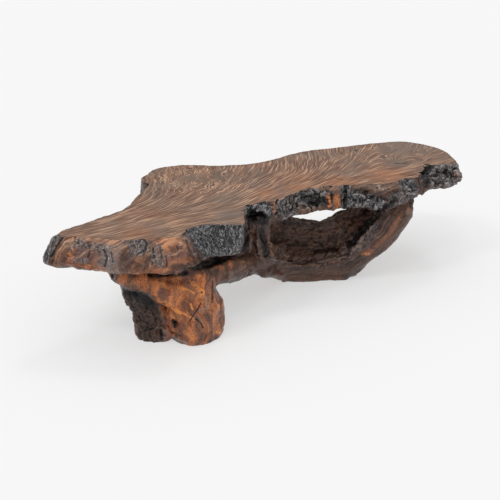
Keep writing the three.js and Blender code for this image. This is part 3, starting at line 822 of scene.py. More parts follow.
def relief_tree():
    """Geometry Nodes that raise folds and crags and sink pits, each where its attribute says."""
    tree = bpy.data.node_groups.new("Burl relief", "GeometryNodeTree")
    tree.is_modifier = True
    tree.interface.new_socket("Geometry", in_out="INPUT", socket_type="NodeSocketGeometry")
    for name, _ in RELIEF_INPUTS:
        tree.interface.new_socket(name, in_out="INPUT", socket_type="NodeSocketFloat")
    tree.interface.new_socket("Finish", in_out="INPUT", socket_type="NodeSocketMaterial")
    tree.interface.new_socket("Geometry", in_out="OUTPUT", socket_type="NodeSocketGeometry")
    given = add_node(tree, "NodeGroupInput").outputs
    place = add_node(tree, "GeometryNodeInputPosition").outputs[0]
    sway = noise_texture(tree, place, 60.0, 2.0).outputs["Color"]
    shift = add_node(tree, "ShaderNodeVectorMath", {"operation": "MULTIPLY_ADD"},
                     {0: sway, 1: (0.012, 0.012, 0.012), 2: place}).outputs[0]

    def scaled(size):
        return maths(tree, "DIVIDE", 1.0, given[size])

    def strength(name, height, value):
        amount = add_node(tree, "GeometryNodeInputNamedAttribute", {"data_type": "FLOAT"}, {"Name": name})
        return maths(tree, "MULTIPLY", maths(tree, "MULTIPLY", amount.outputs[0], given[height]), value)

    def ridges(size, detail, distortion, low, high):
        wave = noise_texture(tree, shift, scaled(size), detail, distortion=distortion)
        off = maths(tree, "ABSOLUTE", maths(tree, "SUBTRACT", wave.outputs[0], 0.5))
        return add_node(tree, "ShaderNodeMapRange", {},
                        {"Value": off, 1: 0.0, 2: 0.2, 3: high, 4: low}).outputs[0]

    fold_top = ridges("Fold size", 3.0, 0.8, -1.0, 0.9)
    jag = ridges("Crag size", 4.0, 0.4, -0.8, 0.6)
    gaps = add_node(tree, "ShaderNodeTexVoronoi", {"feature": "DISTANCE_TO_EDGE"},
                    {"Vector": shift, "Scale": scaled("Crag size")}).outputs["Distance"]
    block = add_node(tree, "ShaderNodeMapRange", {"interpolation_type": "SMOOTHSTEP"},
                     {"Value": gaps, 1: 0.0, 2: 0.22, 3: -1.0, 4: 0.45}).outputs[0]
    crag_top = maths(tree, "ADD", block, jag)
    cells = add_node(tree, "ShaderNodeTexVoronoi", {"feature": "F1"},
                     {"Vector": shift, "Scale": scaled("Pit size")}).outputs["Distance"]
    pit_floor = add_node(tree, "ShaderNodeMapRange", {"interpolation_type": "SMOOTHSTEP"},
                         {"Value": cells, 1: 0.08, 2: 0.38, 3: -1.0, 4: 0.1}).outputs[0]
    heights = [
        strength("folded", "Fold height", fold_top),
        strength("craggy", "Crag height", crag_top),
        strength("pitted", "Pit depth", pit_floor),
    ]
    total = maths(tree, "ADD", maths(tree, "ADD", heights[0], heights[1]), heights[2])
    out = add_node(tree, "GeometryNodeInputNormal").outputs[0]
    offset = add_node(tree, "ShaderNodeVectorMath", {"operation": "SCALE"},
                      {0: out, "Scale": total}).outputs[0]
    moved = add_node(tree, "GeometryNodeSetPosition", {}, {"Geometry": given["Geometry"], "Offset": offset})
    real = add_node(tree, "GeometryNodeRealizeInstances", {}, {0: moved.outputs[0]})
    dressed = add_node(tree, "GeometryNodeSetMaterial", {},
                       {"Geometry": real.outputs[0], "Material": given["Finish"]})
    add_node(tree, "NodeGroupOutput", {}, {0: dressed.outputs[0]})
    return tree


def with_relief(mesh, shape, finish):
    """The mesh after the relief nodes, as a plain mesh."""
    holder = bpy.data.objects.new("holder", mesh)
    bpy.context.scene.collection.objects.link(holder)
    modifier = holder.modifiers.new("relief", "NODES")
    modifier.node_group = relief_tree()
    sockets = {item.name: item.identifier for item in modifier.node_group.interface.items_tree
               if item.in_out == "INPUT"}
    for name, setting in RELIEF_INPUTS:
        modifier[sockets[name]] = getattr(shape, setting)
    modifier[sockets["Finish"]] = finish
    evaluated = holder.evaluated_get(bpy.context.evaluated_depsgraph_get())
    made = bpy.data.meshes.new_from_object(evaluated)
    holder.modifiers.remove(modifier)
    bpy.data.objects.remove(holder)
    bpy.data.meshes.remove(mesh)
    return made


# Finishes
def streaks(tree, place, width, length, detail=2.0, seed=0.0, even=0.0):
    """Noise drawn out along the grain: `width` across it and `length` along it, in metres, with a
    share of evenly spaced waves. Where the grain's lines would lie too wide or too close, a finer or
    coarser octave takes over."""
    across, octave = attribute(tree, "across_grain"), attribute(tree, "grain_octave")
    stretched = add_node(tree, "ShaderNodeVectorMath", {"operation": "SCALE"},
                         {0: place, "Scale": 1 / length})
    flat = add_node(tree, "ShaderNodeSeparateXYZ", {}, {0: stretched.outputs[0]})
    total = 0.0
    for step in GRAIN_OCTAVES:
        narrow = maths(tree, "MULTIPLY", across, 2**step / width)
        vector = add_node(tree, "ShaderNodeCombineXYZ", {},
                          {0: narrow, 1: flat.outputs[0], 2: flat.outputs[1]})
        layer = add_node(tree, "ShaderNodeTexNoise", {"noise_dimensions": "4D"},
                         {"Vector": vector.outputs[0], "W": seed + step, "Scale": 1.0, "Detail": detail})
        value = layer.outputs[0]
        if even:
            turn = maths(tree, "MULTIPLY_ADD", value, WAVE_SWAY, maths(tree, "MULTIPLY", narrow, math.pi))
            value = maths(tree, "MULTIPLY_ADD", maths(tree, "SINE", turn), even, value)
        off = maths(tree, "ABSOLUTE", maths(tree, "SUBTRACT", octave, float(step)))
        share = maths(tree, "SUBTRACT", 1.0, off, use_clamp=True)
        total = maths(tree, "MULTIPLY_ADD", value, share, total)
    return total


def ramp(tree, value, low, high, start=0.0, end=1.0):
    """Maps low..high of a value smoothly to start..end."""
    return add_node(tree, "ShaderNodeMapRange", {"interpolation_type": "SMOOTHSTEP"},
                    {"Value": value, 1: low, 2: high, 3: start, 4: end}).outputs[0]


def blend(tree, amount, first, second):
    return add_node(tree, "ShaderNodeMix", {"data_type": "RGBA"},
                    {0: amount, 6: first, 7: second}).outputs[2]


def attribute(tree, name):
    return add_node(tree, "ShaderNodeAttribute", {"attribute_name": name}).outputs["Fac"]


def new_material(name):
    material = bpy.data.materials.new(name)
    material.use_nodes = True
    return material, material.node_tree, material.node_tree.nodes["Principled BSDF"]


def polished_burl(colours):
    """Redwood burl sawn flat, sanded and finished in satin lacquer: warm brown, with pale curled
    streaks, darker bands, grey clouds and a soft sheen."""
    material, tree, shader = new_material(BURL_FINISH)
    place = add_node(tree, "ShaderNodeTexCoord").outputs["Object"]
    bands = streaks(tree, place, 34 * MM, 260 * MM, 3.0, 1.0)
    lines = streaks(tree, place, 5.2 * MM, 90 * MM, 1.0, 20.0, 0.1)
    fibres = streaks(tree, place, 2.8 * MM, 60 * MM, 1.0, 30.0)
    clouds = noise_texture(tree, place, 9.0, 3.0).outputs[0]
    body = blend(tree, ramp(tree, bands, 0.3, 0.7), colours["burl_dark"], colours["burl_mid"])
    body = blend(tree, ramp(tree, lines, 0.53, 0.66), body, colours["burl_pale"])
    body = blend(tree, ramp(tree, lines, 0.48, 0.36, 0.0, 0.7), body, colours["burl_dark"])
    body = blend(tree, ramp(tree, fibres, 0.48, 0.66, 0.0, 0.5), body, colours["burl_pale"])
    body = blend(tree, ramp(tree, fibres, 0.46, 0.32, 0.0, 0.5), body, colours["burl_dark"])
    body = blend(tree, ramp(tree, clouds, 0.45, 0.68, 0.0, 0.45), body, colours["burl_grey"])
    body = blend(tree, attribute(tree, "tawny"), body, colours["burl_tawny"])
    body = blend(tree, attribute(tree, "worn"), body, colours["burl_grey"])
    body = blend(tree, attribute(tree, "rim"), body, colours["bark_dark"])
    body = blend(tree, attribute(tree, "crack"), body, colours["pit"])
    tree.links.new(body, shader.inputs["Base Color"])
    tree.links.new(ramp(tree, lines, 0.3, 0.7, 0.5, 0.4), shader.inputs["Roughness"])
    shader.inputs["Specular IOR Level"].default_value = 0.2
    bump = add_node(tree, "ShaderNodeBump", {}, {"Height": fibres, "Strength": 0.3, "Distance": 0.5 * MM})
    tree.links.new(bump.outputs[0], shader.inputs["Normal"])
    return material


def lacquered_root(colours):
    """Redwood root scraped clean of bark and lacquered glossy: dark brown, paler and orange where
    heartwood shows, charred black in places; its hollows are darkened with painted shade and its ridges
    lightened with a painted highlight, partly wear."""
    material, tree, shader = new_material(ROOT_FINISH)
    place = add_node(tree, "ShaderNodeTexCoord").outputs["Object"]
    cavity = attribute(tree, "cavity")
    grain = streaks(tree, place, 7 * MM, 80 * MM, 3.0, 40.0)
    bands = streaks(tree, place, 32 * MM, 150 * MM, 3.0, 50.0)
    patches = noise_texture(tree, place, 24.0, 4.0).outputs[0]
    specks = noise_texture(tree, place, 170.0, 4.0, 0.65).outputs[0]
    body = blend(tree, ramp(tree, bands, 0.35, 0.65), colours["bark_dark"], colours["bark_red"])
    body = blend(tree, ramp(tree, grain, 0.52, 0.64, 0.0, 0.7), body, colours["bark_purple"])
    body = blend(tree, ramp(tree, grain, 0.46, 0.36, 0.0, 0.5), body, colours["pit"])
    body = blend(tree, ramp(tree, specks, 0.55, 0.7, 0.0, 0.6), body, colours["bark_purple"])
    tan = blend(tree, ramp(tree, bands, 0.38, 0.62), colours["edge_purple"], colours["edge_brown"])
    tan = blend(tree, ramp(tree, grain, 0.52, 0.7, 0.0, 0.7), tan, colours["burl_pale"])
    tan = blend(tree, ramp(tree, grain, 0.47, 0.3, 0.0, 0.8), tan, colours["bark_red"])
    tan = blend(tree, ramp(tree, specks, 0.47, 0.33, 0.0, 0.85), tan, colours["bark_dark"])
    tan = blend(tree, ramp(tree, patches, 0.47, 0.37, 0.0, 0.75), tan, colours["bark_dark"])
    height = add_node(tree, "ShaderNodeSeparateXYZ", {}, {0: place}).outputs[2]
    upper = ramp(tree, height, TOP_LEVEL - 38 * MM, TOP_LEVEL - 4 * MM, 0.0, 0.75)
    near_rim = maths(tree, "MULTIPLY", upper, ramp(tree, patches, 0.3, 0.5, 0.35, 1.0))
    sawn = blend(tree, ramp(tree, grain, 0.42, 0.6), colours["burl_dark"], colours["burl_pale"])
    tan = blend(tree, near_rim, tan, sawn)
    body = blend(tree, attribute(tree, "brown"), body, tan)
    glow = blend(tree, ramp(tree, patches, 0.38, 0.6), colours["orange_deep"], colours["orange"])
    glow = blend(tree, ramp(tree, grain, 0.54, 0.68, 0.0, 0.3), glow, colours["gold"])
    glow = blend(tree, ramp(tree, bands, 0.48, 0.36, 0.0, 0.7), glow, colours["edge_purple"])
    glow = blend(tree, ramp(tree, patches, 0.47, 0.38, 0.0, 0.4), glow, colours["bark_red"])
    glow = blend(tree, ramp(tree, grain, 0.46, 0.36, 0.0, 0.6), glow, colours["bark_red"])
    glow = blend(tree, ramp(tree, specks, 0.55, 0.7, 0.0, 0.3), glow, colours["gold"])
    glow = blend(tree, ramp(tree, specks, 0.47, 0.35, 0.0, 0.8), glow, colours["bark_red"])
    body = blend(tree, attribute(tree, "warm"), body, glow)
    shining = maths(tree, "MULTIPLY", attribute(tree, "gold"), ramp(tree, specks, 0.35, 0.5, 0.3, 1.0))
    body = blend(tree, shining, body, colours["gold"])
    # Painted highlight, partly wear: ridges that stand out of the smoothed surface are lightened.
    body = blend(tree, ramp(tree, cavity, -0.15, -1.0, 0.0, 0.65), body, colours["ridge"])
    upright = add_node(tree, "ShaderNodeVectorMath", {"operation": "MULTIPLY"},
                       {0: place, 1: (1.0, 1.0, 0.55)})
    flecks = noise_texture(tree, upright.outputs[0], 105.0, 5.0, 0.75, 1.4).outputs[0]
    soot = blend(tree, ramp(tree, flecks, 0.45, 0.66), colours["char"], colours["ash"])
    # Painted highlight: ridges of the charred wood are lightened towards ash grey.
    soot = blend(tree, ramp(tree, cavity, -0.15, -1.0, 0.0, 0.7), soot, colours["ash"])
    body = blend(tree, attribute(tree, "char"), body, soot)
    # Rubbed wear and painted glints, speckled, where those marks lie.
    wear_and_glint_cover = maths(tree, "MULTIPLY", attribute(tree, "worn"), ramp(tree, specks, 0.3, 0.55, 0.3, 1.0))
    # Painted shade: hollows that lie below the smoothed surface are darkened to near black.
    body = blend(tree, ramp(tree, cavity, 0.1, 0.9, 0.0, 0.88), body, colours["pit"])
    body = blend(tree, wear_and_glint_cover, body, colours["worn"])
    # Painted shade in gaps, clefts, flutes and pits, and dark wood, where the dark marks lie.
    body = blend(tree, ramp(tree, attribute(tree, "dark"), 0.0, 0.9, 0.0, 0.95), body, colours["pit"])
    tree.links.new(body, shader.inputs["Base Color"])
    rough = maths(tree, "ADD", ramp(tree, specks, 0.3, 0.7, 0.24, 0.45),
                  ramp(tree, cavity, 0.0, 0.8, 0.0, 0.35))
    tree.links.new(rough, shader.inputs["Roughness"])
    shader.inputs["Specular IOR Level"].default_value = 0.15
    shader.inputs["Coat Weight"].default_value = 0.35
    shader.inputs["Coat Roughness"].default_value = 0.08
    fine = noise_texture(tree, place, 420.0, 3.0, 0.6).outputs[0]
    first = add_node(tree, "ShaderNodeBump", {}, {"Height": specks, "Strength": 1.0, "Distance": 5 * MM})
    second = add_node(tree, "ShaderNodeBump", {},
                      {"Height": grain, "Strength": 0.5, "Distance": 2.5 * MM, "Normal": first.outputs[0]})
    bump = add_node(tree, "ShaderNodeBump", {},
                    {"Height": fine, "Strength": 0.35, "Distance": 0.7 * MM, "Normal": second.outputs[0]})
    tree.links.new(bump.outputs[0], shader.inputs["Normal"])
    return material


def matte_paper(colours):
    """Seamless studio paper, lit through from behind: even, pale and without gloss."""
    material, _, shader = new_material("matte_white_studio_paper")
    shader.inputs["Base Color"].default_value = colours["paper"]
    shader.inputs["Roughness"].default_value = 0.9
    shader.inputs["Specular IOR Level"].default_value = 0.1
    shader.inputs["Emission Color"].default_value = (1, 1, 1, 1)
    shader.inputs["Emission Strength"].default_value = PAPER_GLOW
    return material


# The sawn face
def grain_directions(x, y):
    """The grain's angle at each place, from the nearest of GRAIN_WAYS."""
    ways = np.array(GRAIN_WAYS, float)
    near = (x[..., None] - ways[:, 0]) ** 2 + (y[..., None] - ways[:, 1]) ** 2 + WAY_REACH**2
    weight = near**-WAY_FALLOFF
    return np.radians((weight * ways[:, 2]).sum(-1) / weight.sum(-1))


def solved_grain():
    """A distance across the grain, in millimetres, on a grid: its level lines run along the grain and
    lie evenly spaced as far as they can. Solved by conjugate gradients."""
    low, high = (np.array(corner) / MM for corner in CAD_BOX)
    xs = np.arange(low[0] - GRAIN_GRID, high[0] + 2 * GRAIN_GRID, GRAIN_GRID)
    ys = np.arange(low[1] - GRAIN_GRID, high[1] + 2 * GRAIN_GRID, GRAIN_GRID)
    middle_x, middle_y = np.meshgrid(xs[:-1] + GRAIN_GRID / 2, ys[:-1] + GRAIN_GRID / 2, indexing="ij")
    angle = grain_directions(middle_x, middle_y)
    along = np.cos(angle), np.sin(angle)
    across = -along[1], along[0]

    def slopes(values):
        a, b, c, d = values[:-1, :-1], values[1:, :-1], values[:-1, 1:], values[1:, 1:]
        return (b + d - a - c) / (2 * GRAIN_GRID), (c + d - a - b) / (2 * GRAIN_GRID)

    def spread(x_part, y_part):
        out = np.zeros((len(xs), len(ys)))
        out[:-1, :-1] -= x_part + y_part
        out[1:, :-1] += x_part - y_part
        out[:-1, 1:] += y_part - x_part
        out[1:, 1:] += x_part + y_part
        return out / (2 * GRAIN_GRID)

    def pull(values):
        x_slope, y_slope = slopes(values)
        run = GRAIN_STIFFNESS * (x_slope * along[0] + y_slope * along[1])
        rise = x_slope * across[0] + y_slope * across[1]
        return spread(run * along[0] + rise * across[0], run * along[1] + rise * across[1]) + 1e-9 * values

    solved = np.zeros((len(xs), len(ys)))
    rest = spread(*across)
    step = rest.copy()
    left = (rest * rest).sum()
    for _ in range(GRAIN_STEPS):
        pulled = pull(step)
        gain = left / (step * pulled).sum()
        solved += gain * step
        rest -= gain * pulled
        new_left = (rest * rest).sum()
        step = rest + new_left / left * step
        left = new_left
    return xs, ys, solved


def across_grain(points):
    """Distance across the grain, in metres, at places of the sawn face, with its curls and eyes, and
    how much too wide apart its lines lie there, in octaves."""
    xs, ys, solved = solved_grain()
    x, y = points[:, 0] / MM, points[:, 1] / MM
    i = np.clip(((x - xs[0]) / GRAIN_GRID).astype(int), 0, len(xs) - 2)
    j = np.clip(((y - ys[0]) / GRAIN_GRID).astype(int), 0, len(ys) - 2)
    s, t = (x - xs[i]) / GRAIN_GRID, (y - ys[j]) / GRAIN_GRID

    def sampled(grid):
        near = grid[i, j] * (1 - s) + grid[i + 1, j] * s
        return near * (1 - t) + (grid[i, j + 1] * (1 - s) + grid[i + 1, j + 1] * s) * t

    value = sampled(solved)
    widening = -np.log2(np.hypot(*np.gradient(solved, GRAIN_GRID)) + 1e-6)
    flat = np.stack([x, y, np.zeros_like(x)], 1)
    lace = np.exp(-((x - LACE_PLACE[0]) ** 2 + (y - LACE_PLACE[1]) ** 2) / LACE_REACH**2)
    value += 0.9 * layered(flat, GRAIN_WAVER, seed=11, layers=2)
    value += 2.0 * noise(flat, 140, seed=12)
    u, w, _ = turned(flat).T
    curls = np.stack([u / LACE_WIDE, w / LACE_LONG, w * 0], 1)
    value += LACE_SWAY * lace * layered(curls, 1, seed=17, layers=2)
    for eye_x, eye_y, reach in EYES:
        value += EYE_LIFT * np.exp(-((x - eye_x) ** 2 + (y - eye_y) ** 2) / reach**2)
    return value * MM, np.clip(sampled(widening), GRAIN_OCTAVES[0], GRAIN_OCTAVES[-1])


def grid_points(low, high, step):
    """Staggered rows of points between two corners."""
    rows = np.arange(low[1], high[1], step * ROW_SPACING)
    line = np.arange(low[0], high[0], step)
    return np.concatenate([np.stack([line + (k % 2) * step / 2, np.full_like(line, y)], 1)
                           for k, y in enumerate(rows)])


def crack_points():
    """Closer points about each crack, so that it is cut in cleanly."""
    found = []
    for path, width, _ in CRACKS:
        corners = np.array(path) * MM
        reach = 3 * width * MM
        grid = grid_points(corners.min(0) - reach, corners.max(0) + reach, CRACK_GRID)
        flat_path = [(x, y, 0) for x, y in corners]
        near = distance_to(np.column_stack([grid, np.zeros(len(grid))]), flat_path) < reach
        found.append(grid[near])
    return np.concatenate(found)


def fill_sawn_face(bm, edges):
    """Closes the top with an even net of triangles inside its outline."""
    rim = list({v for e in edges for v in e.verts})
    number = {v: i for i, v in enumerate(rim)}
    links = [(number[e.verts[0]], number[e.verts[1]]) for e in edges]
    outline = np.array([v.co[:2] for v in rim])
    dense = crack_points()
    even = grid_points(outline.min(0), outline.max(0), TOP_GRID)
    tree = KDTree(len(outline) + len(dense))
    for i, (x, y) in enumerate(np.concatenate([outline, dense])):
        tree.insert((x, y, 0), i)
    tree.balance()
    free = np.array([tree.find((x, y, 0))[2] > CLEAR_OF_RIM * TOP_GRID for x, y in even])
    inner = np.concatenate([even[free], dense])
    flat = [Vector(p) for p in np.concatenate([outline, inner])]
    verts, _, faces, sources, _, _ = delaunay_2d_cdt(flat, links, [], 2, 1e-7)
    made = []
    for place, source in zip(verts, sources):
        known = [s for s in source if s < len(rim)]
        made.append(rim[known[0]] if known else bm.verts.new((place.x, place.y, TOP_LEVEL)))
    filled = []
    for face in faces:
        corners = [made[i] for i in face]
        if len(set(corners)) == 3 and bm.faces.get(corners) is None:
            filled.append(bm.faces.new(corners))
    for face in filled:
        face.normal_update()
        if face.normal.z < 0:
            face.normal_flip()
    return filled


def drop_loose_bits(bm):
    """Removes islands that a cut leaves beside the piece."""
    seen, islands = set(), []
    for start in bm.verts:
        if start in seen:
            continue
        island, waiting = [], [start]
        seen.add(start)
        while waiting:
            vert = waiting.pop()
            island.append(vert)
            for edge in vert.link_edges:
                other = edge.other_vert(vert)
                if other not in seen:
                    seen.add(other)
                    waiting.append(other)
        islands.append(island)
    least = SMALLEST_SHARE * len(bm.verts)
    loose = [v for island in islands if len(island) < least for v in island]
    bmesh.ops.delete(bm, geom=loose, context="VERTS")


def cut_piece(node, planes, polished=False):
    """Cuts a piece out of the grown body. Each plane is a point and the way that is cut away."""
    bm = bmesh.new()
    bm.from_mesh(bpy.data.meshes["grown_burl"])
    soft = bm.verts.layers.float_vector["soft_way"]
    sawn = bm.faces.layers.int.new("sawn")
    for point, way in planes:
        everything = bm.verts[:] + bm.edges[:] + bm.faces[:]
        bmesh.ops.bisect_plane(
            bm, geom=everything, plane_co=point, plane_no=way, dist=1e-6, clear_outer=True)
        drop_loose_bits(bm)
        edges = [e for e in bm.edges if e.is_boundary]
        if point.z > TOP_LEVEL - MM:
            faces = fill_sawn_face(bm, edges)
        else:
            made = bmesh.ops.triangle_fill(bm, use_beauty=True, edges=edges, normal=way)["geom"]
            faces = [f for f in made if isinstance(f, bmesh.types.BMFace)]
            wrong = [f for f in faces if f.normal.dot(way) < 0]
            bmesh.ops.reverse_faces(bm, faces=wrong)
        for face in faces:
            face[sawn] = 2 if point.z > TOP_LEVEL - MM else 1
    bmesh.ops.triangulate(bm, faces=[f for f in bm.faces if len(f.verts) > 4])
    ways = []
    for face in bm.faces:
        face.smooth = True
        face.material_index = 1 if face[sawn] == 2 else 0
        ways += [face.normal[:] if face[sawn] else v[soft].normalized()[:] for v in face.verts]
    mesh = bpy.data.meshes.new(node)
    bm.to_mesh(mesh)
    bm.free()
    mesh.materials.append(bpy.data.materials[ROOT_FINISH])
    if polished:
        mesh.materials.append(bpy.data.materials[BURL_FINISH])
    mesh.normals_split_custom_set(ways)
    mesh.attributes.remove(mesh.attributes["soft_way"])
    mesh.attributes.remove(mesh.attributes["sawn"])
    return mesh


def finish_sawn_face(mesh):
    """Cuts the cracks into the polished face and stores what its finish reads."""
    points = places(mesh)
    level = np.abs(points[:, 2] - TOP_LEVEL) < 0.01 * MM
    flat = points * (1, 1, 0)
    on_top = np.zeros(len(points), bool)
    side = np.zeros(len(points), bool)
    for polygon in mesh.polygons:
        (on_top if polygon.material_index == 1 else side)[list(polygon.vertices)] = True
    inside = on_top & ~side
    rim = KDTree(int((on_top & side).sum()))
    for i, place in enumerate(flat[on_top & side]):
        rim.insert(place, i)
    rim.balance()
    found = [rim.find(place) for place in flat[level]]
    away = np.full(len(points), 1.0)
    away[level] = [distance for _, _, distance in found]
    beyond = np.zeros(len(points))
    beyond[level] = [(near - Vector(place)).dot(W_WAY) for (near, _, _), place in zip(found, flat[level])]
    beyond = smoothstep(-0.2, 0.6, beyond / np.maximum(away, 1e-6))
    crack = np.zeros(len(points))
    for path, width, depth in CRACKS:
        near = np.exp(-((distance_to(flat, [(x * MM, y * MM, 0) for x, y in path]) / (width * MM)) ** 2))
        crack = np.maximum(crack, near * level)
        points[:, 2] -= depth * MM * near * inside
    set_places(mesh, points)
    uneven = layered(flat, 30 * MM, seed=14)

    def clouds(spots):
        cover = np.zeros(len(points))
        for (x, y), reach, strength in spots:
            near = ((flat - (x * MM, y * MM, 0)) ** 2).sum(1) / (reach * MM) ** 2
            cover = np.maximum(cover, strength * np.exp(-near * (1 + 0.5 * uneven)))
        return cover

    across, octave = across_grain(points)
    set_values(mesh, "across_grain", across)
    set_values(mesh, "grain_octave", octave)
    set_values(mesh, "crack", smoothstep(0.25, 0.8, crack))
    set_values(mesh, "rim", 0.8 * beyond * smoothstep(*RIM_FADE, away * (1 - 0.4 * uneven)))
    set_values(mesh, "worn", clouds(GREY_CLOUDS))
    set_values(mesh, "tawny", clouds(TAWNY_CLOUDS))


# Settings
class BurlShape(bpy.types.PropertyGroup):
    """Sizes of the burl's mesh and relief."""

    voxel: bpy.props.FloatProperty(
        name="Voxel", description="Size of the cells that the grown body is meshed in",
        default=4.2 * MM, min=2 * MM, unit="LENGTH")
    smooth_steps: bpy.props.IntProperty(
        name="Smoothing", description="Rounds of smoothing that take the facets off", default=9, min=0)
    fold_size: bpy.props.FloatProperty(
        name="Fold size", description="Distance between folds", default=36 * MM, unit="LENGTH")
    fold_height: bpy.props.FloatProperty(
        name="Fold height", description="Height of the folds", default=6.5 * MM, unit="LENGTH")
    crag_size: bpy.props.FloatProperty(
        name="Crag size", description="Size of the crags of charred wood", default=42 * MM, unit="LENGTH")
    crag_height: bpy.props.FloatProperty(
        name="Crag height", description="Height of the crags", default=6 * MM, unit="LENGTH")
    pit_size: bpy.props.FloatProperty(
        name="Pit size", description="Distance between pits", default=13 * MM, unit="LENGTH")
    pit_depth: bpy.props.FloatProperty(
        name="Pit depth", description="Depth of the pits", default=3.5 * MM, unit="LENGTH")


def colour_setting(name, description, code):
    return bpy.props.FloatVectorProperty(
        name=name, description=description, default=linear(code), size=4, min=0, max=1, subtype="COLOR")


class BurlColours(bpy.types.PropertyGroup):
    """Colours of the wood and of the studio paper."""

    burl_dark: colour_setting("Burl dark", "Dark bands of the sawn face", "#583f33")
    burl_mid: colour_setting("Burl mid", "Body of the sawn face", "#876350")
    burl_pale: colour_setting("Burl pale", "Pale streaks of the sawn face", "#c69f82")
    burl_grey: colour_setting("Burl grey", "Grey clouds of the sawn face", "#71645a")
    burl_tawny: colour_setting("Burl tawny", "Orange tan near the right edge", "#a8683e")
    edge_brown: colour_setting("Edge brown", "Brown of the live edge", "#9a6a4c")
    edge_purple: colour_setting("Edge purple", "Purplish brown of the live edge", "#76544a")
    bark_dark: colour_setting("Root dark", "Dark brown of the roots", "#392924")
    bark_red: colour_setting("Root red", "Reddish brown of the roots", "#543c32")
    bark_purple: colour_setting("Root purple", "Purplish brown flecks", "#75594e")
    orange_deep: colour_setting("Deep orange", "Shaded heartwood of the foot", "#b0623a")
    orange: colour_setting("Orange", "Heartwood of the foot", "#e68d54")
    gold: colour_setting("Gold", "Bright specks of heartwood", "#ee9a50")
    char: colour_setting("Char", "Charred wood", "#17181a")
    # Ash grey of charred wood; also the painted highlight on its ridges.
    ash: colour_setting("Ash", "Dusty ridges of charred wood", "#a8a6a8")
    # Rubbed wear, and painted glints on ridges, ledges and knobs.
    worn: colour_setting("Worn", "Rubbed and shining ridges", "#9c918b")
    # Worn ridges, lightened also as a painted highlight where ridges catch the light.
    ridge: colour_setting("Ridge", "Worn ridges", "#8a6650")
    # Near black: the painted shade in pits, cracks and hollows, and the darkest grain lines.
    pit: colour_setting("Pit", "Bottoms of pits and cracks", "#0b0706")
    paper: colour_setting("Paper", "Floor and backdrop", "#aaaaaa")


class BurlStage(bpy.types.PropertyGroup):
    """The studio."""

    floor_size: bpy.props.FloatProperty(
        name="Floor size", description="Side of the square floor", default=300.0, unit="LENGTH")
    horizon_light: bpy.props.FloatProperty(
        name="Horizon light", description="Strength of the light from the sides", default=0.3, min=0)
    overhead_light: bpy.props.FloatProperty(
        name="Overhead light", description="Strength of the light from above", default=1.1, min=0)
    backdrop: bpy.props.FloatProperty(
        name="Backdrop", description="Brightness of the backdrop above the floor", default=0.92, min=0)
    key_strength: bpy.props.FloatProperty(
        name="Key strength", description="Strength of the soft light at the left front", default=0.44, min=0)
    back_strength: bpy.props.FloatProperty(
        name="Back strength", description="Strength of the soft light behind", default=0.3, min=0)
    glint_strength: bpy.props.FloatProperty(
        name="Glint strength", description="Strength of the small light that glints on lacquer",
        default=0.16, min=0)
    glint_spread: bpy.props.FloatProperty(
        name="Glint spread", description="Apparent width of the glinting light, in degrees",
        default=3.0, min=0)
    spread: bpy.props.FloatProperty(
        name="Light spread", description="Apparent width of the two lights, in degrees", default=12.0, min=0)


def colours_of(context):
    settings = context.scene.burl_colours
    return {key: list(getattr(settings, key)) for key in settings.__annotations__}


def place_piece(node, mesh):
    """Puts a finished mesh in the scene in place of its CAD node."""
    piece = bpy.data.objects.new(node + "_wood", mesh)
    bpy.context.scene.collection.objects.link(piece)
    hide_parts(node)
    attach(piece, "root")


def fork(cut, sign):
    """A fork's plane, facing +X (1) or -X (-1)."""
    point, facing = cut
    return point, Vector((math.cos(math.radians(facing)), math.sin(math.radians(facing)), 0)) * sign


# Operators
class BURL_OT_grow(bpy.types.Operator):
    """Grows the whole burl as one mesh, with its lumps, hollows, pits and paint"""

    bl_idname = "burl.grow"
    bl_label = "Grow the burl"

    def execute(self, context):
        shape = context.scene.burl_shape
        colours = colours_of(context)
        root_finish = lacquered_root(colours)
        polished_burl(colours)
        remesh = ("REMESH", {"mode": "VOXEL", "voxel_size": shape.voxel})
        body = finished_mesh(joined_body(), remesh, *gentle_smoothing(shape.smooth_steps))
        points = coarse_relief(places(body), ways_out(body))
        tree = BVHTree.FromPolygons(points.tolist(), [list(p.vertices) for p in body.polygons])
        set_places(body, points)
        set_places(body, carve(points, ways_out(body), tree))
        body = finished_mesh(body, remesh, *gentle_smoothing(1))
        points = places(body)
        for name in RELIEF_KINDS:
            cover = painted(points, ways_out(body), tree, name)
            set_values(body, name, RELIEF_STILL + (1 - RELIEF_STILL) * cover)
        body = with_relief(body, shape, root_finish)
        refined(body, tree)
        points = places(body)
        points += ways_out(body) * grain_relief(points)[:, None]
        set_places(body, held_in_box(points))
        base = smoothed(body, 12)
        sunk = ((places(base) - points) * ways_out(base)).sum(1) / CAVITY_DEPTH
        bpy.data.meshes.remove(base)
        for name in PAINT:
            if name not in RELIEF_KINDS:
                set_values(body, name, painted(points, ways_out(body), tree, name))
        # How deep each point lies under the smoothed surface, negative on ridges; the root finish darkens
        # hollows with painted shade and lightens ridges with a painted highlight from it.
        set_values(body, "cavity", np.clip(sunk, -1.5, 1.5))
        on_slab = smoothstep(*SLAB_HEIGHT, points[:, 2])
        flow = root_flow(points)
        set_values(body, "across_grain", flow + (edge_flow(points) - flow) * on_slab)
        set_values(body, "grain_octave", np.zeros(len(points)))
        for name in RELIEF_KINDS:
            body.attributes.remove(body.attributes[name])
        ways = body.attributes.new("soft_way", "FLOAT_VECTOR", "POINT")
        ways.data.foreach_set("vector", ways_out(body).astype(np.float32).ravel())
        body.name = "grown_burl"
        return {"FINISHED"}


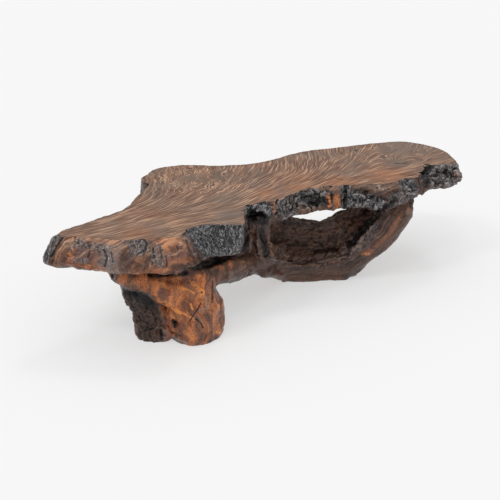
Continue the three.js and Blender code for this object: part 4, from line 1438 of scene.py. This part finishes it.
class BURL_OT_cut_top(bpy.types.Operator):
    """Saws the slab off level above and parts it from its roots"""

    bl_idname = "burl.cut_top"
    bl_label = "Slab"

    def execute(self, context):
        planes = [(UP * NECK_LEVEL, -UP), (UP * TOP_LEVEL, UP)]
        mesh = cut_piece("burl_top", planes, polished=True)
        finish_sawn_face(mesh)
        place_piece("burl_top", mesh)
        return {"FINISHED"}


class BURL_OT_cut_foot(bpy.types.Operator):
    """Parts the left foot from the slab and from the bridge"""

    bl_idname = "burl.cut_foot"
    bl_label = "Left foot"

    def execute(self, context):
        planes = [(UP * NECK_LEVEL, UP), (UP * 0.0, -UP), fork(FOOT_FORK, 1)]
        place_piece("left_foot", cut_piece("left_foot", planes))
        return {"FINISHED"}


class BURL_OT_cut_bridge(bpy.types.Operator):
    """Parts the bridging root from the foot and from the cradle"""

    bl_idname = "burl.cut_bridge"
    bl_label = "Bridge root"

    def execute(self, context):
        planes = [(UP * NECK_LEVEL, UP), (UP * 0.0, -UP), fork(FOOT_FORK, -1), fork(CRADLE_FORK, 1)]
        place_piece("bridge_root", cut_piece("bridge_root", planes))
        return {"FINISHED"}


class BURL_OT_cut_cradle(bpy.types.Operator):
    """Parts the hollow root cradle from the slab and from the bridge"""

    bl_idname = "burl.cut_cradle"
    bl_label = "Root cradle"

    def execute(self, context):
        planes = [(UP * NECK_LEVEL, UP), (UP * 0.0, -UP), fork(CRADLE_FORK, -1)]
        place_piece("root_cradle", cut_piece("root_cradle", planes))
        bpy.data.meshes.remove(bpy.data.meshes["grown_burl"])
        return {"FINISHED"}


def soft_sun(name, azimuth, elevation, spread, strength):
    """A soft distant light that stands at an azimuth from the front, counted to the right, and an
    elevation, all in degrees."""
    data = bpy.data.lights.new(name, "SUN")
    data.angle = math.radians(spread)
    data.energy = strength
    light = bpy.data.objects.new(name, data)
    turn, rise = math.radians(azimuth) + CAMERA_AZIMUTH, math.radians(elevation)
    towards = Vector((math.sin(turn) * math.cos(rise), -math.cos(turn) * math.cos(rise), math.sin(rise)))
    light.rotation_euler = towards.to_track_quat("Z", "Y").to_euler()
    bpy.context.scene.collection.objects.link(light)


def light_sky(tree, stage):
    """Light from all round that is stronger overhead, behind a backdrop as pale as the floor."""
    way = add_node(tree, "ShaderNodeTexCoord").outputs["Generated"]
    height = add_node(tree, "ShaderNodeSeparateXYZ", {}, {0: way}).outputs[2]
    sky = ramp(tree, height, 0.15, 0.95, stage.horizon_light, stage.overhead_light)
    seen = add_node(tree, "ShaderNodeLightPath").outputs["Is Camera Ray"]
    strength = add_node(tree, "ShaderNodeMix", {"data_type": "FLOAT"}, {0: seen, 2: sky, 3: stage.backdrop})
    background = tree.nodes["Background"]
    background.inputs["Color"].default_value = (1, 1, 1, 1)
    tree.links.new(strength.outputs[0], background.inputs["Strength"])


class BURL_OT_stage(bpy.types.Operator):
    """Sets the pale floor, the soft lights and the camera"""

    bl_idname = "burl.stage"
    bl_label = "Stage"

    def execute(self, context):
        scene = context.scene
        stage = scene.burl_stage
        half = stage.floor_size / 2
        mesh = bpy.data.meshes.new("studio_floor")
        corners = [(-half, -half, 0), (half, -half, 0), (half, half, 0), (-half, half, 0)]
        mesh.from_pydata(corners, [], [(0, 1, 2, 3)])
        mesh.materials.append(matte_paper(colours_of(context)))
        floor = bpy.data.objects.new("studio_floor", mesh)
        scene.collection.objects.link(floor)
        world = bpy.data.worlds.new("studio")
        world.use_nodes = True
        light_sky(world.node_tree, stage)
        scene.world = world
        soft_sun("left_front_light", -55, 50, stage.spread, stage.key_strength)
        soft_sun("back_light", 150, 62, stage.spread, stage.back_strength)
        soft_sun("glint_light", -20, 58, stage.glint_spread, stage.glint_strength)
        data = bpy.data.cameras.new("camera")
        data.lens = CAMERA_LENS
        data.sensor_width = SENSOR
        camera = bpy.data.objects.new("camera", data)
        camera.location = CAMERA_PLACE
        camera.rotation_euler = (-CAMERA_BACK).to_track_quat("-Z", "Y").to_euler()
        scene.collection.objects.link(camera)
        scene.camera = camera
        scene.view_settings.view_transform = "Standard"
        return {"FINISHED"}


class BURL_PT_sidebar(bpy.types.Panel):
    """Lists the burl table's settings and steps"""

    bl_label = "Burl table"
    bl_space_type = "VIEW_3D"
    bl_region_type = "UI"
    bl_category = "Burl table"

    def draw(self, context):
        layout = self.layout
        for settings in (context.scene.burl_shape, context.scene.burl_colours, context.scene.burl_stage):
            column = layout.column(align=True)
            for key in settings.__annotations__:
                column.prop(settings, key)
        for operator in OPERATORS:
            layout.operator(operator.bl_idname)


OPERATORS = (BURL_OT_stage, BURL_OT_grow, BURL_OT_cut_top, BURL_OT_cut_foot, BURL_OT_cut_bridge,
             BURL_OT_cut_cradle)
GROUPS = (("burl_shape", BurlShape), ("burl_colours", BurlColours), ("burl_stage", BurlStage))


def register():
    for _, group in GROUPS:
        bpy.utils.register_class(group)
    for name, group in GROUPS:
        setattr(bpy.types.Scene, name, bpy.props.PointerProperty(type=group))
    for operator in OPERATORS:
        bpy.utils.register_class(operator)
    bpy.utils.register_class(BURL_PT_sidebar)


def unregister():
    bpy.utils.unregister_class(BURL_PT_sidebar)
    for operator in reversed(OPERATORS):
        bpy.utils.unregister_class(operator)
    for name, group in reversed(GROUPS):
        delattr(bpy.types.Scene, name)
        bpy.utils.unregister_class(group)


def main():
    register()
    bpy.ops.burl.stage()
    bpy.ops.burl.grow()
    bpy.ops.burl.cut_top()
    bpy.ops.burl.cut_foot()
    bpy.ops.burl.cut_bridge()
    bpy.ops.burl.cut_cradle()


if __name__ == "__main__":
    main()
